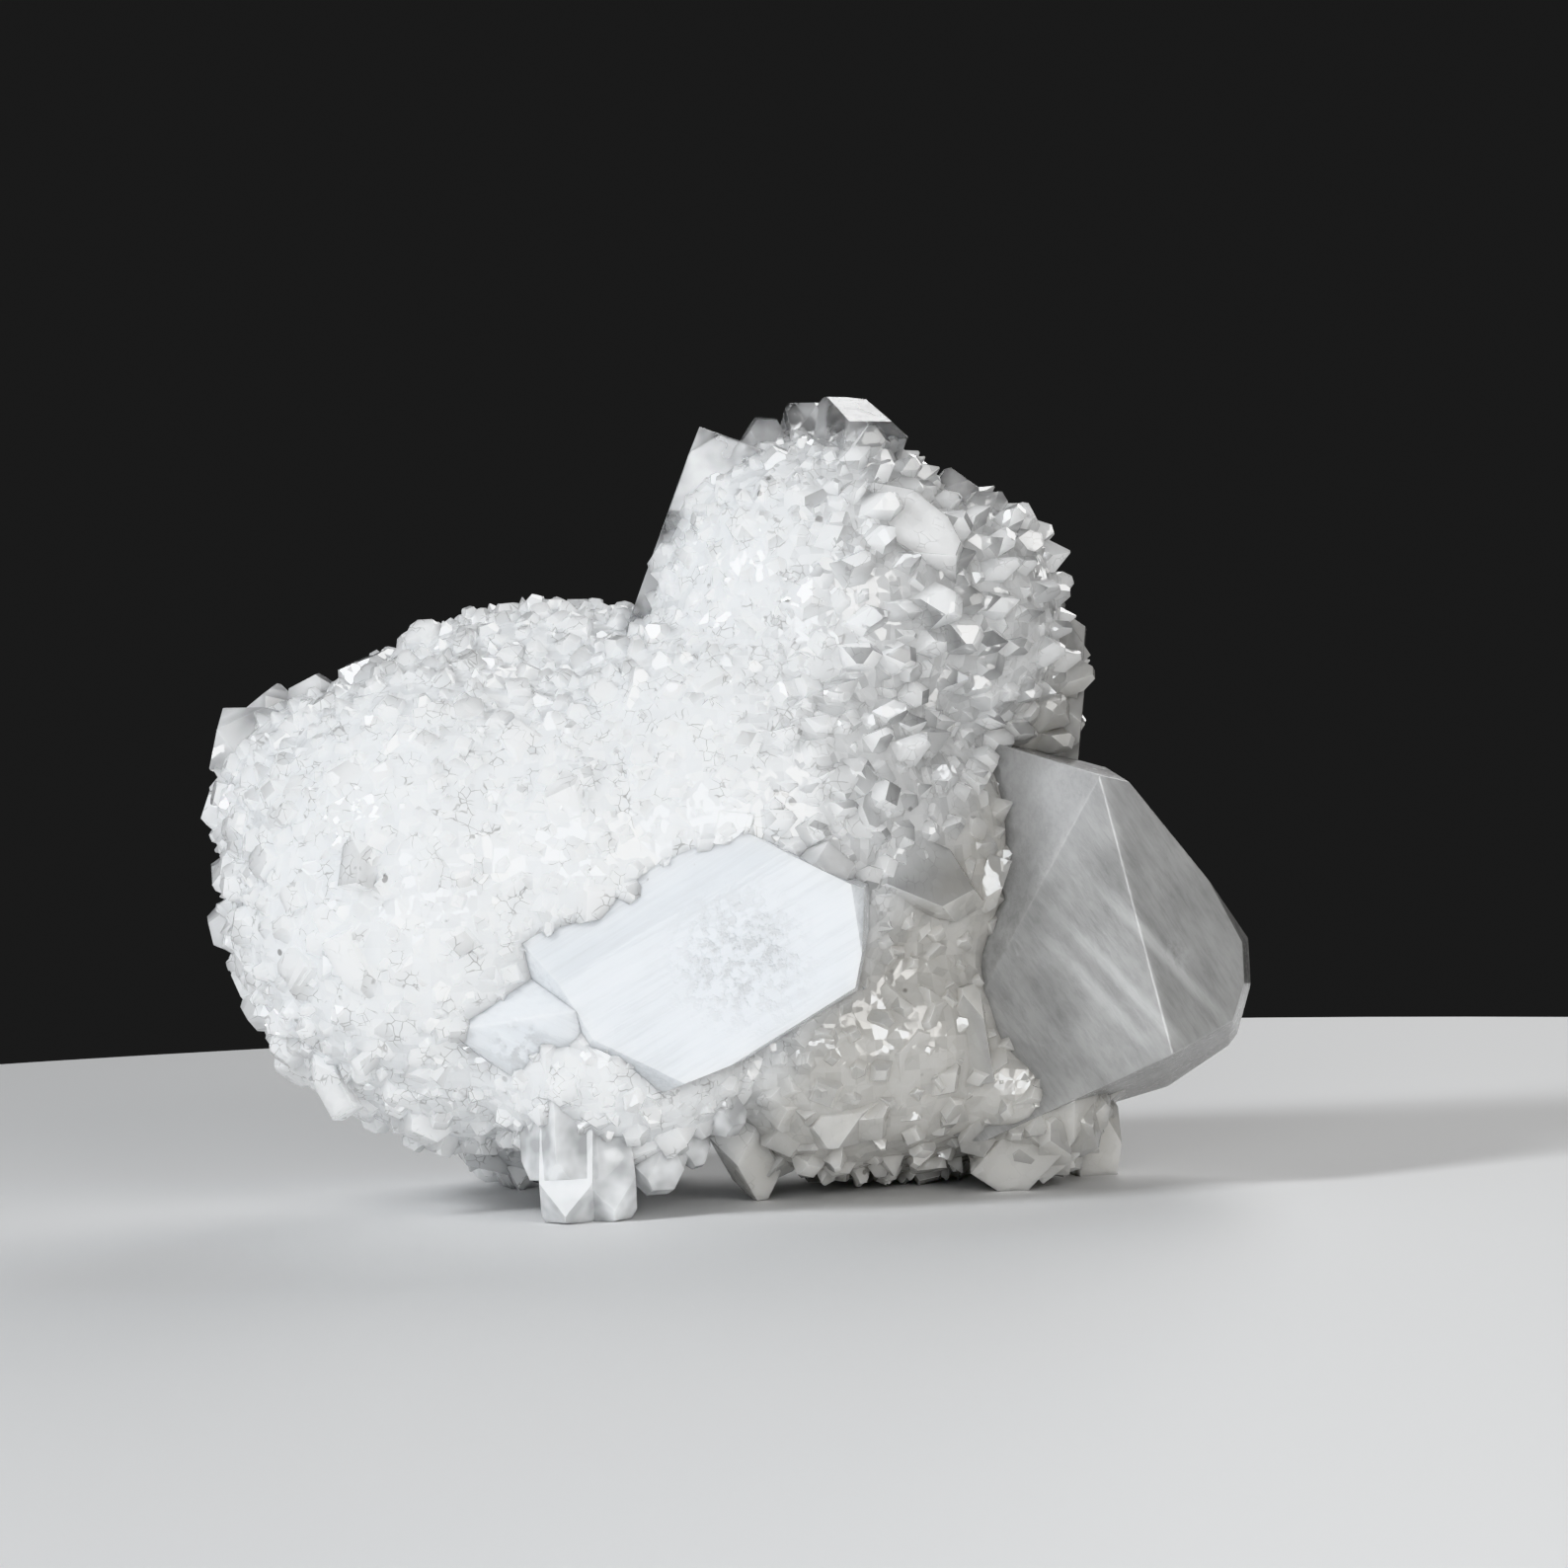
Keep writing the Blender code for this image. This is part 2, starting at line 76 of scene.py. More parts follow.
class Modelling:
    """The few modelling steps that every piece is made with."""

    @staticmethod
    def deselect() -> None:
        """Leaves object mode with nothing selected."""
        if bpy.context.object and bpy.context.object.mode != "OBJECT":
            bpy.ops.object.mode_set(mode="OBJECT")
        bpy.ops.object.select_all(action="DESELECT")

    @staticmethod
    def select(objects: Sequence[bpy.types.Object]) -> None:
        """Selects these objects alone, with the first one active.

        Args:
            objects: The objects to select.
        """
        Modelling.deselect()
        for obj in objects:
            obj.select_set(True)
        bpy.context.view_layer.objects.active = objects[0]

    @staticmethod
    def apply_modifiers(obj: bpy.types.Object) -> None:
        """Bakes every modifier of an object into its mesh, in order.

        Args:
            obj: The object.
        """
        Modelling.select([obj])
        for modifier in list(obj.modifiers):
            bpy.ops.object.modifier_apply(modifier=modifier.name)

    @staticmethod
    def settle(obj: bpy.types.Object, name: str) -> bpy.types.Object:
        """Puts an object's place into its mesh, names it, and leaves its origin at the part's.

        Args:
            obj: The object.
            name: Its final name.

        Returns:
            The same object.
        """
        Modelling.select([obj])
        bpy.ops.object.transform_apply(location=True, rotation=True, scale=True)
        obj.name = name
        obj.data.name = name
        return obj

    @staticmethod
    def join(objects: Sequence[bpy.types.Object], name: str) -> bpy.types.Object:
        """Joins several objects into the first one.

        Args:
            objects: The objects to join.
            name: The name of the result.

        Returns:
            The joined object.
        """
        Modelling.select(objects)
        if len(objects) > 1:
            bpy.ops.object.join()
        return Modelling.settle(bpy.context.object, name)

    @staticmethod
    def cut(faces: Iterable[tuple[Vector, Vector]]) -> None:
        """Cuts the mesh in edit mode by planes, closing each cut with a flat face.

        Args:
            faces: Each plane's point and outward normal, in the scene.
        """
        for point, normal in faces:
            bpy.ops.mesh.select_all(action="SELECT")
            bpy.ops.mesh.bisect(
                plane_co=point, plane_no=normal, use_fill=True, clear_inner=False, clear_outer=True
            )

    @staticmethod
    def combine(body: bpy.types.Object, other: bpy.types.Object, operation: str) -> None:
        """Grows another closed mesh into the body or cuts it away, and removes it.

        Args:
            body: The object that keeps the result.
            other: The other object.
            operation: UNION or DIFFERENCE.
        """
        step = body.modifiers.new(operation.lower(), "BOOLEAN")
        step.operation = operation
        step.solver = "MANIFOLD"
        step.object = other
        Modelling.apply_modifiers(body)
        bpy.data.objects.remove(other)

    @staticmethod
    def stand(obj: bpy.types.Object) -> None:
        """Wears whatever reaches below the standing plane flat on it.

        Args:
            obj: The object, which is closed.
        """
        if min(v.co.z for v in obj.data.vertices) < 0:
            Modelling.deselect()
            bpy.ops.mesh.primitive_cube_add(size=0.2, location=(0, 0, -0.1))
            Modelling.combine(obj, Modelling.settle(bpy.context.object, "ground"), "DIFFERENCE")

    @staticmethod
    def soften(obj: bpy.types.Object, width_mm: float) -> None:
        """Takes the razor's edge off a crystal, and removes the slivers that this leaves.

        Args:
            obj: The crystal.
            width_mm: How wide the softened edges are.
        """
        bevel = obj.modifiers.new("soft edges", "BEVEL")
        bevel.width = width_mm * MM
        bevel.segments = 2
        bevel.limit_method = "ANGLE"
        bevel.angle_limit = math.radians(12)
        Modelling.apply_modifiers(obj)
        bpy.ops.object.mode_set(mode="EDIT")
        bpy.ops.mesh.select_all(action="SELECT")
        bpy.ops.mesh.dissolve_degenerate(threshold=0.002 * MM)
        bpy.ops.object.mode_set(mode="OBJECT")


def copies(shapes: Sequence[tuple[np.ndarray, list]], places: Sequence[Matrix], name: str) -> Any:
    """One object with a copy of the matching shape at each place.

    Args:
        shapes: Each copy's corners and faces.
        places: Each copy's matrix.
        name: The object's name.

    Returns:
        The object.
    """
    corners, faces, start = [], [], 0
    for (points, rows), place in zip(shapes, places):
        matrix = np.array(place)
        corners.append(points @ matrix[:3, :3].T + matrix[:3, 3])
        faces.extend(tuple(n + start for n in row) for row in rows)
        start += len(points)
    mesh = bpy.data.meshes.new(name)
    mesh.from_pydata(np.concatenate(corners).tolist(), [], faces)
    obj = bpy.data.objects.new(name, mesh)
    bpy.context.scene.collection.objects.link(obj)
    return obj


def turned_to(axis: Vector, roll_deg: float) -> Matrix:
    """A rotation whose Z is the axis, turned about it by the roll.

    Args:
        axis: The direction that Z turns to.
        roll_deg: The turn about that direction.

    Returns:
        A 3 by 3 rotation.
    """
    turn = Vector((0, 0, 1)).rotation_difference(axis.normalized())
    return turn.to_matrix() @ Matrix.Rotation(math.radians(roll_deg), 3, "Z")


class Habit(Enum):
    """The ways in which the small crystals end: share of the end left flat, lean of the tip, and chip."""

    POINTED = (0.04, 0.0, False)
    SKEWED = (0.08, 0.20, False)
    TRUNCATED = (0.36, 0.05, False)
    BLOCKY = (0.78, 0.0, False)
    CHIPPED = (0.20, 0.10, True)


@dataclass
class SmallCrystal:
    """One small crystal as a pattern, one unit wide, with its tip at the origin and pointing up."""

    habit: Habit
    length: float = 2.4

    def faces(self) -> list[tuple[Vector, Vector]]:
        """The planes that end the crystal, each a point and an outward normal."""
        flat, lean, chipped = self.habit.value
        slope = math.radians(PYRAMID_SLOPE_DEG)
        planes = []
        for quarter in range(4):
            turn = Matrix.Rotation(math.radians(45 + 90 * quarter), 3, "Z")
            outward = turn @ Vector((math.sin(slope), 0, math.cos(slope)))
            reach = math.sqrt(0.5) * flat + (lean if quarter in (0, 1) else -lean * 0.3)
            planes.append((turn @ Vector((max(reach, 0.0), 0, 0)), outward))
        if chipped:
            planes.append((Vector((0.18, 0.05, -0.25)), Vector((0.62, 0.25, 0.74))))
        return planes

    def build(self) -> tuple[np.ndarray, list[tuple[int, ...]]]:
        """Models the crystal once.

        Returns:
            Its corners, and its faces as rows of corner numbers.
        """
        Modelling.deselect()
        bpy.ops.mesh.primitive_cube_add(size=1, location=(0, 0, -self.length / 2), scale=(1, 1, self.length))
        obj = Modelling.settle(bpy.context.object, "pattern")
        bpy.ops.object.mode_set(mode="EDIT")
        Modelling.cut(self.faces())
        bpy.ops.mesh.select_all(action="SELECT")
        bpy.ops.mesh.normals_make_consistent(inside=False)
        bpy.ops.object.mode_set(mode="OBJECT")
        corners = np.array([v.co for v in obj.data.vertices])
        faces = [tuple(p.vertices) for p in obj.data.polygons]
        bpy.data.objects.remove(obj)
        return corners, faces


@dataclass(frozen=True)
class FlatFaces:
    """The flat faces of one convex crystal, as points on them and outward normals, in metres."""

    points: np.ndarray
    normals: np.ndarray

    @classmethod
    def of(cls, obj: bpy.types.Object) -> "FlatFaces":
        """Reads the faces of a crystal."""
        faces = obj.data.polygons
        return cls(np.array([f.center for f in faces]), np.array([f.normal for f in faces]))

    def buries(self, point: Vector, depth: float) -> bool:
        """Whether a point lies at least that deep in the crystal."""
        return bool(((np.array(point) - self.points) * self.normals).sum(axis=1).max() < -depth)


@dataclass(frozen=True)
class Swelling:
    """One rounded lump of the mass: centre, half sizes and lean about Y in degrees."""

    centre: Numbers
    half: Numbers
    lean_deg: float = 0.0


@dataclass(frozen=True)
class Tip:
    """One prismatic crystal: width, thickness and length, the middle of its end, where it points, and its end.

    The end's four pyramid faces leave the given share of it flat. Millimetres.
    """

    size: Numbers
    end: Numbers
    axis: Numbers
    roll_deg: float = 0.0
    flat: float = 0.4

    def build(self, name: str) -> bpy.types.Object:
        """Models the crystal in its place.

        Args:
            name: The object's name.

        Returns:
            One closed crystal.
        """
        width, thickness, length = self.size
        Modelling.deselect()
        bpy.ops.mesh.primitive_cube_add(size=1, location=(0, 0, -length / 2), scale=self.size)
        obj = Modelling.settle(bpy.context.object, name)
        slope = math.radians(PYRAMID_SLOPE_DEG)
        reach = (width + thickness) / 2 * math.sqrt(0.5) * self.flat
        faces = []
        for quarter in range(4):
            turn = Matrix.Rotation(math.radians(45 + 90 * quarter), 3, "Z")
            faces.append((turn @ Vector((reach, 0, 0)), turn @ Vector((math.sin(slope), 0, math.cos(slope)))))
        bpy.ops.object.mode_set(mode="EDIT")
        Modelling.cut(faces)
        bpy.ops.object.mode_set(mode="OBJECT")
        place = Matrix.Translation(spot(*self.end)) @ turned_to(Vector(self.axis), self.roll_deg).to_4x4()
        obj.matrix_world = place @ Matrix.Scale(MM, 4)
        return Modelling.settle(obj, name)


@dataclass(frozen=True)
class Block:
    """One large crystal: a block round its middle, cut by flat faces given as normals and points. Millimetres."""

    middle: Numbers
    half: Numbers
    faces: tuple[tuple[Numbers, Numbers], ...]

    def build(self, name: str) -> bpy.types.Object:
        """Models the crystal in its place.

        Args:
            name: The object's name.

        Returns:
            One closed crystal.
        """
        Modelling.deselect()
        bpy.ops.mesh.primitive_cube_add(size=2 * MM, location=spot(*self.middle), scale=self.half)
        obj = Modelling.settle(bpy.context.object, name)
        bpy.ops.object.mode_set(mode="EDIT")
        Modelling.cut((spot(*point), Vector(normal).normalized()) for normal, point in self.faces)
        bpy.ops.object.mode_set(mode="OBJECT")
        return obj


@dataclass(frozen=True)
class Plate:
    """A flat crystal face that lies in the crust, given by its outline as seen from the front.

    The outline is in x and z, going round clockwise. The face's middle lies at depth y and faces along the
    normal, and the crystal widens behind it by the flare. Millimetres.
    """

    outline: tuple[Numbers, ...]
    depth: float
    normal: Numbers
    thickness: float = 4.0
    flare: float = 0.35

    def build(self, name: str) -> bpy.types.Object:
        """Models the crystal in its place.

        Args:
            name: The object's name.

        Returns:
            One closed crystal.
        """
        facing = Vector(self.normal).normalized()
        middle = Vector((
            sum(x for x, _ in self.outline) / len(self.outline), self.depth, sum(z for _, z in self.outline) / len(self.outline)
        ))
        corners = []
        for x, z in self.outline:
            away = (x - middle.x) * facing.x + (z - middle.z) * facing.z
            corners.append(Vector((x, self.depth - away / facing.y, z)))
        faces = [(spot(*middle), facing), (spot(*(middle - facing * self.thickness)), -facing)]
        for corner, following in zip(corners, [*corners[1:], corners[0]]):
            outward = facing.cross(following - corner).normalized()
            faces.append((spot(*corner), (outward + facing * self.flare).normalized()))
        Modelling.deselect()
        bpy.ops.mesh.primitive_cube_add(size=60 * MM, location=spot(*middle))
        obj = Modelling.settle(bpy.context.object, name)
        bpy.ops.object.mode_set(mode="EDIT")
        Modelling.cut(faces)
        bpy.ops.object.mode_set(mode="OBJECT")
        return obj


@dataclass
class Mass:
    """The lumpy mass that everything grows on, melted together from its swellings."""

    swellings: tuple[Swelling, ...] = (
        Swelling((-17.5, -1.5, 20.5), (14.6, 15.1, 15.1), 12),
        Swelling((-25.6, 1.0, 26.0), (7.2, 9.6, 7.4), 20),
        Swelling((-13.0, 5.0, 29.3), (14.1, 11.1, 9.4), -8),
        Swelling((-17.6, -2.0, 14.5), (11.6, 12.6, 10.2), 26),
        Swelling((0.0, -2.0, 23.5), (15.1, 14.1, 14.1)),
        Swelling((6.6, 1.5, 37.6), (11.2, 11.6, 11.6)),
        Swelling((14.0, 4.5, 37.0), (8.4, 9.6, 8.8)),
        Swelling((18.0, 10.0, 33.0), (6.2, 7.1, 7.0)),
        Swelling((-7.5, -8.5, 10.0), (9.1, 8.1, 6.6)),
        Swelling((10.5, 4.5, 9.6), (12.6, 11.6, 9.0)),
        Swelling((19.0, 7.0, 7.8), (6.2, 8.6, 5.4), 14),
        Swelling((11.8, 3.0, 21.0), (7.4, 11.6, 10.6)),
        Swelling((-2.0, 11.5, 21.0), (19.6, 9.1, 15.6)),
        Swelling((-11.0, 11.0, 7.0), (9.6, 8.6, 7.4)),
        Swelling((-9.0, -4.0, 22.0), (12.5, 12.4, 11.5)),
        Swelling((-19.0, -5.5, 18.0), (12.0, 11.0, 11.0), 20),
        Swelling((6.2, -2.6, 9.4), (7.6, 7.4, 8.0)),
        Swelling((10.8, -2.0, 10.0), (6.6, 7.6, 7.8)),
        Swelling((18.0, 0.0, 6.6), (6.8, 7.0, 4.8), 20),
    )
    voxel: float = 1.0
    rounding: int = 5

    def build(self) -> bpy.types.Object:
        """Models the mass.

        Returns:
            One closed smooth mesh.
        """
        lumps = []
        for lump in self.swellings:
            Modelling.deselect()
            bpy.ops.mesh.primitive_ico_sphere_add(
                subdivisions=5,
                radius=1,
                location=spot(*lump.centre),
                rotation=(0, math.radians(lump.lean_deg), 0),
                scale=Vector(lump.half) * MM,
            )
            lumps.append(bpy.context.object)
        mass = Modelling.join(lumps, "mass")
        melt = mass.modifiers.new("melt", "REMESH")
        melt.mode = "VOXEL"
        melt.voxel_size = self.voxel * MM
        rounding = mass.modifiers.new("rounding", "SMOOTH")
        rounding.factor = 0.5
        rounding.iterations = self.rounding
        Modelling.apply_modifiers(mass)
        return mass


@dataclass(frozen=True)
class Growth:
    """How the small crystals stand in one region, given as a box of the specimen's millimetres.

    Pitch, width and rise, which is how far a tip stands out of the mass, are in millimetres.
    """

    low: Numbers
    high: Numbers
    pitch: float
    width: tuple[float, float]
    rise: tuple[float, float]
    stray: float
    habits: tuple[tuple[Habit, float], ...]
    pull: Numbers = (0.0, 0.0, 0.0)

    def holds(self, foot: Vector) -> bool:
        """Whether a point of the part lies in the region."""
        place = foot / MM + MIDDLE
        return all(low <= value <= high for low, value, high in zip(self.low, place, self.high))


@dataclass(frozen=True)
class Site:
    """The foot of one small crystal on the mass, the mass's normal there, and the growth it belongs to."""

    foot: Vector
    normal: Vector
    growth: Growth

    def root(self) -> Vector:
        """A point a little below the foot, inside the mass."""
        return self.foot - self.normal * 1.5 * MM

    def crystal(self, draw: random.Random) -> tuple[Habit, Matrix, float]:
        """Gives the crystal its habit, place, turn and size.

        Args:
            draw: The source of the variation.

        Returns:
            The habit, the matrix and the width in metres.
        """
        growth = self.growth
        stray = Vector((draw.gauss(0, 1), draw.gauss(0, 1), draw.gauss(0, 1))) * growth.stray
        axis = (self.normal + Vector(growth.pull) + stray).normalized()
        width = draw.uniform(*growth.width) * MM
        size = Matrix.Diagonal((width, width * draw.uniform(0.70, 1.0), width, 1))
        turn = turned_to(axis, draw.uniform(0, 90)).to_4x4()
        habit = draw.choices([kind for kind, _ in growth.habits], [share for _, share in growth.habits])[0]
        tip = self.foot + axis * draw.uniform(*growth.rise) * MM
        return habit, Matrix.Translation(tip) @ turn @ size, width


FAR = 99.0
SHARDS = ((Habit.SKEWED, 0.35), (Habit.TRUNCATED, 0.20), (Habit.CHIPPED, 0.30), (Habit.POINTED, 0.15))
SPIKES = ((Habit.POINTED, 0.35), (Habit.SKEWED, 0.30), (Habit.TRUNCATED, 0.20), (Habit.CHIPPED, 0.15))
LUMPS = ((Habit.POINTED, 0.25), (Habit.SKEWED, 0.20), (Habit.TRUNCATED, 0.30), (Habit.BLOCKY, 0.10), (Habit.CHIPPED, 0.15))


@dataclass
class Crust:
    """The small crystals that cover the mass, each standing on it in its region's way.

    The large ones grow first. In each of the two lists the first region that holds a point counts there.
    """

    seed: int = 7
    large: tuple[Growth, ...] = (
        Growth((-FAR, 9.0, -FAR), (FAR, FAR, FAR), 3.4, (2.6, 4.2), (0.5, 1.4), 0.20, LUMPS),
        Growth((8.5, -FAR, 28.0), (FAR, 9.0, FAR), 2.0, (1.3, 2.4), (0.9, 1.9), 0.20, SPIKES, (0.9, 0.0, 0.05)),
        Growth((-3.0, -FAR, 34.0), (14.0, 9.0, FAR), 2.1, (2.0, 3.4), (0.15, 0.60), 0.22, SHARDS),
        Growth((11.0, -FAR, 11.0), (FAR, 9.0, 22.0), 2.4, (2.4, 4.0), (0.1, 0.6), 0.30, SHARDS),
        Growth((3.0, -FAR, 16.0), (FAR, 9.0, 34.0), 2.1, (1.3, 2.4), (0.5, 1.4), 0.22, SPIKES, (0.5, 0.0, 0.1)),
        Growth((2.0, -FAR, -FAR), (FAR, 9.0, 16.0), 2.4, (2.4, 4.0), (0.1, 0.6), 0.30, SHARDS),
        Growth((-FAR, -FAR, -FAR), (-27.5, 9.0, FAR), 2.4, (2.2, 3.8), (0.4, 1.2), 0.20, LUMPS),
        Growth((-FAR, -FAR, -FAR), (FAR, FAR, FAR), 2.3, (2.2, 4.2), (0.15, 0.60), 0.20, SHARDS),
    )
    small: tuple[Growth, ...] = (
        Growth((-FAR, 9.0, -FAR), (FAR, FAR, FAR), 1.80, (1.4, 2.4), (0.4, 1.1), 0.24, LUMPS),
        Growth((8.5, -FAR, 28.0), (FAR, 9.0, FAR), 1.30, (1.1, 2.2), (0.1, 0.6), 0.26, LUMPS, (0.60, 0.0, 0.0)),
        Growth((-3.0, -FAR, 34.0), (9.5, 9.0, FAR), 1.10, (0.9, 1.8), (0.20, 0.70), 0.35, SHARDS),
        Growth((11.0, -FAR, 11.0), (FAR, 9.0, 22.0), 1.55, (1.2, 2.6), (0.1, 0.5), 0.35, SHARDS),
        Growth((4.0, -FAR, 16.0), (FAR, 9.0, 34.0), 1.45, (1.3, 2.6), (0.1, 0.6), 0.28, LUMPS, (0.25, 0.0, 0.1)),
        Growth((2.0, -FAR, -FAR), (FAR, 9.0, 16.0), 1.55, (1.2, 2.6), (0.1, 0.5), 0.35, SHARDS),
        Growth((-FAR, -FAR, -FAR), (-26.0, 9.0, FAR), 1.40, (1.2, 2.4), (0.3, 0.9), 0.24, LUMPS),
        Growth((-FAR, -FAR, 31.0), (-3.0, 9.0, FAR), 1.30, (1.1, 2.1), (0.3, 0.9), 0.24, LUMPS),
        Growth((-FAR, -FAR, -FAR), (FAR, FAR, FAR), 1.15, (0.9, 2.0), (0.15, 0.60), 0.35, SHARDS),
    )

    def sites(self, mass: bpy.types.Object, growths: Sequence[Growth]) -> list[Site]:
        """Spreads crystals over the mass, no two nearer than the pitch there.

        Args:
            mass: The mass.
            growths: The regions in order.

        Returns:
            The crystals' sites.
        """
        coarse = 1.0
        mesh = mass.data
        mesh.calc_loop_triangles()
        points = np.array([v.co for v in mesh.vertices])
        triangles = np.array([t.vertices for t in mesh.loop_triangles])
        a, b, c = (points[triangles[:, i]] for i in range(3))
        normals = np.cross(b - a, c - a)
        areas = np.linalg.norm(normals, axis=1)
        normals /= areas[:, None]
        rng = np.random.default_rng(self.seed)
        finest = min(growth.pitch for growth in growths) * MM * coarse
        count = int(areas.sum() / 2 / finest**2 * 6)
        pick = rng.choice(len(areas), size=count, p=areas / areas.sum())
        u, v = rng.random(count), rng.random(count)
        swap = u + v > 1
        u[swap], v[swap] = 1 - u[swap], 1 - v[swap]
        feet = a[pick] + (b - a)[pick] * u[:, None] + (c - a)[pick] * v[:, None]
        cell = max(growth.pitch for growth in growths) * MM * coarse
        taken: dict[tuple[int, ...], list[np.ndarray]] = {}
        kept = []
        for foot, normal in zip(feet, normals[pick]):
            underside = normal[2] < -0.75
            growth = growths[0] if underside else next(growth for growth in growths if growth.holds(Vector(foot)))
            gap = growth.pitch * MM * coarse
            x, y, z = (int(math.floor(value / cell)) for value in foot)
            around = ((x + i, y + j, z + k) for i in (-1, 0, 1) for j in (-1, 0, 1) for k in (-1, 0, 1))
            if any(((foot - other) ** 2).sum() < gap * gap for key in around for other in taken.get(key, ())):
                continue
            taken.setdefault((x, y, z), []).append(foot)
            kept.append(Site(Vector(foot), Vector(normal), growth))
        return kept

    def layers(self, placed: Sequence[tuple[Habit, Matrix, float]]) -> list[list[int]]:
        """Sorts crystals into layers in which no two can touch.

        Args:
            placed: Each crystal's habit, matrix and width.

        Returns:
            The crystals' numbers, layer by layer.
        """
        half = SmallCrystal(Habit.POINTED).length / 2
        middles = np.array([(matrix @ Vector((0, 0, -half)))[:] for _, matrix, _ in placed])
        radii = np.array([width * math.hypot(half, math.sqrt(0.5)) for _, _, width in placed])
        layer_of = np.full(len(placed), -1)
        for i in range(len(placed)):
            gaps = np.linalg.norm(middles[:i] - middles[i], axis=1)
            taken = set(layer_of[:i][gaps < radii[:i] + radii[i]])
            layer_of[i] = next(n for n in range(len(placed)) if n not in taken)
        return [list(np.flatnonzero(layer_of == n)) for n in range(layer_of.max() + 1)]

    def build(self, mass: bpy.types.Object, bare: Sequence[FlatFaces]) -> bpy.types.Object:
        """Grows the crust on the mass.

        Args:
            mass: The mass, which becomes the crust.
            bare: Large crystals, inside which no small one grows.

        Returns:
            The crusted mass.
        """
        draw = random.Random(self.seed)
        patterns = {habit: SmallCrystal(habit).build() for habit in Habit}
        sites = [*self.sites(mass, self.large), *self.sites(mass, self.small)]
        sites = [site for site in sites if not any(solid.buries(site.root(), 1.4 * MM) for solid in bare)]
        placed = [site.crystal(draw) for site in sites]
        log.info("crust of %d crystals", len(placed))
        ground = BVHTree.FromPolygons(
            [v.co.copy() for v in mass.data.vertices], [tuple(p.vertices) for p in mass.data.polygons]
        )
        for layer in self.layers(placed):
            shapes = [patterns[placed[i][0]] for i in layer]
            Modelling.combine(mass, copies(shapes, [placed[i][1] for i in layer], "layer"), "UNION")
        Modelling.stand(mass)
        self.measure_relief(mass, ground)
        return mass

    @staticmethod
    def measure_relief(crust: bpy.types.Object, ground: BVHTree) -> None:
        """Notes how far each corner of the crust stands off the mass, for its finish, which paints shade into the gaps
        and light at the tips.

        Args:
            crust: The crust.
            ground: The skin of the mass before anything grew on it.
        """
        relief = crust.data.attributes.new("relief_mm", "FLOAT", "POINT")
        heights = [ground.find_nearest(v.co)[3] / MM for v in crust.data.vertices]
        relief.data.foreach_set("value", heights)


class Wire:
    """An output socket that adds Math nodes when it is used in an expression."""

    def __init__(self, graph: "Graph", socket: bpy.types.NodeSocket) -> None:
        """Wraps a socket of a graph."""
        self.graph = graph
        self.socket = socket

    def math(self, operation: str, *others: "Wire | float", swapped: bool = False) -> "Wire":
        """Adds one Math node.

        Args:
            operation: The node's operation.
            others: The other values, in order.
            swapped: Whether this value comes last.

        Returns:
            The result.
        """
        values = (*others, self) if swapped else (self, *others)
        return self.graph.node("ShaderNodeMath", {"operation": operation}, dict(enumerate(values)))

    def __add__(self, other: "Wire | float") -> "Wire":
        """This plus the other."""
        return self.math("ADD", other)

    def __radd__(self, other: float) -> "Wire":
        """The other plus this."""
        return self.math("ADD", other, swapped=True)

    def __sub__(self, other: "Wire | float") -> "Wire":
        """This less the other."""
        return self.math("SUBTRACT", other)

    def __rsub__(self, other: float) -> "Wire":
        """The other less this."""
        return self.math("SUBTRACT", other, swapped=True)

    def __mul__(self, other: "Wire | float") -> "Wire":
        """This times the other."""
        return self.math("MULTIPLY", other)

    def __rmul__(self, other: float) -> "Wire":
        """The other times this."""
        return self.math("MULTIPLY", other, swapped=True)

    def between(self, low: float, high: float) -> "Wire":
        """Zero below low, one above high, and straight between."""
        ranges = {"Value": self, "From Min": low, "From Max": high}
        return self.graph.node("ShaderNodeMapRange", {"clamp": True}, ranges)


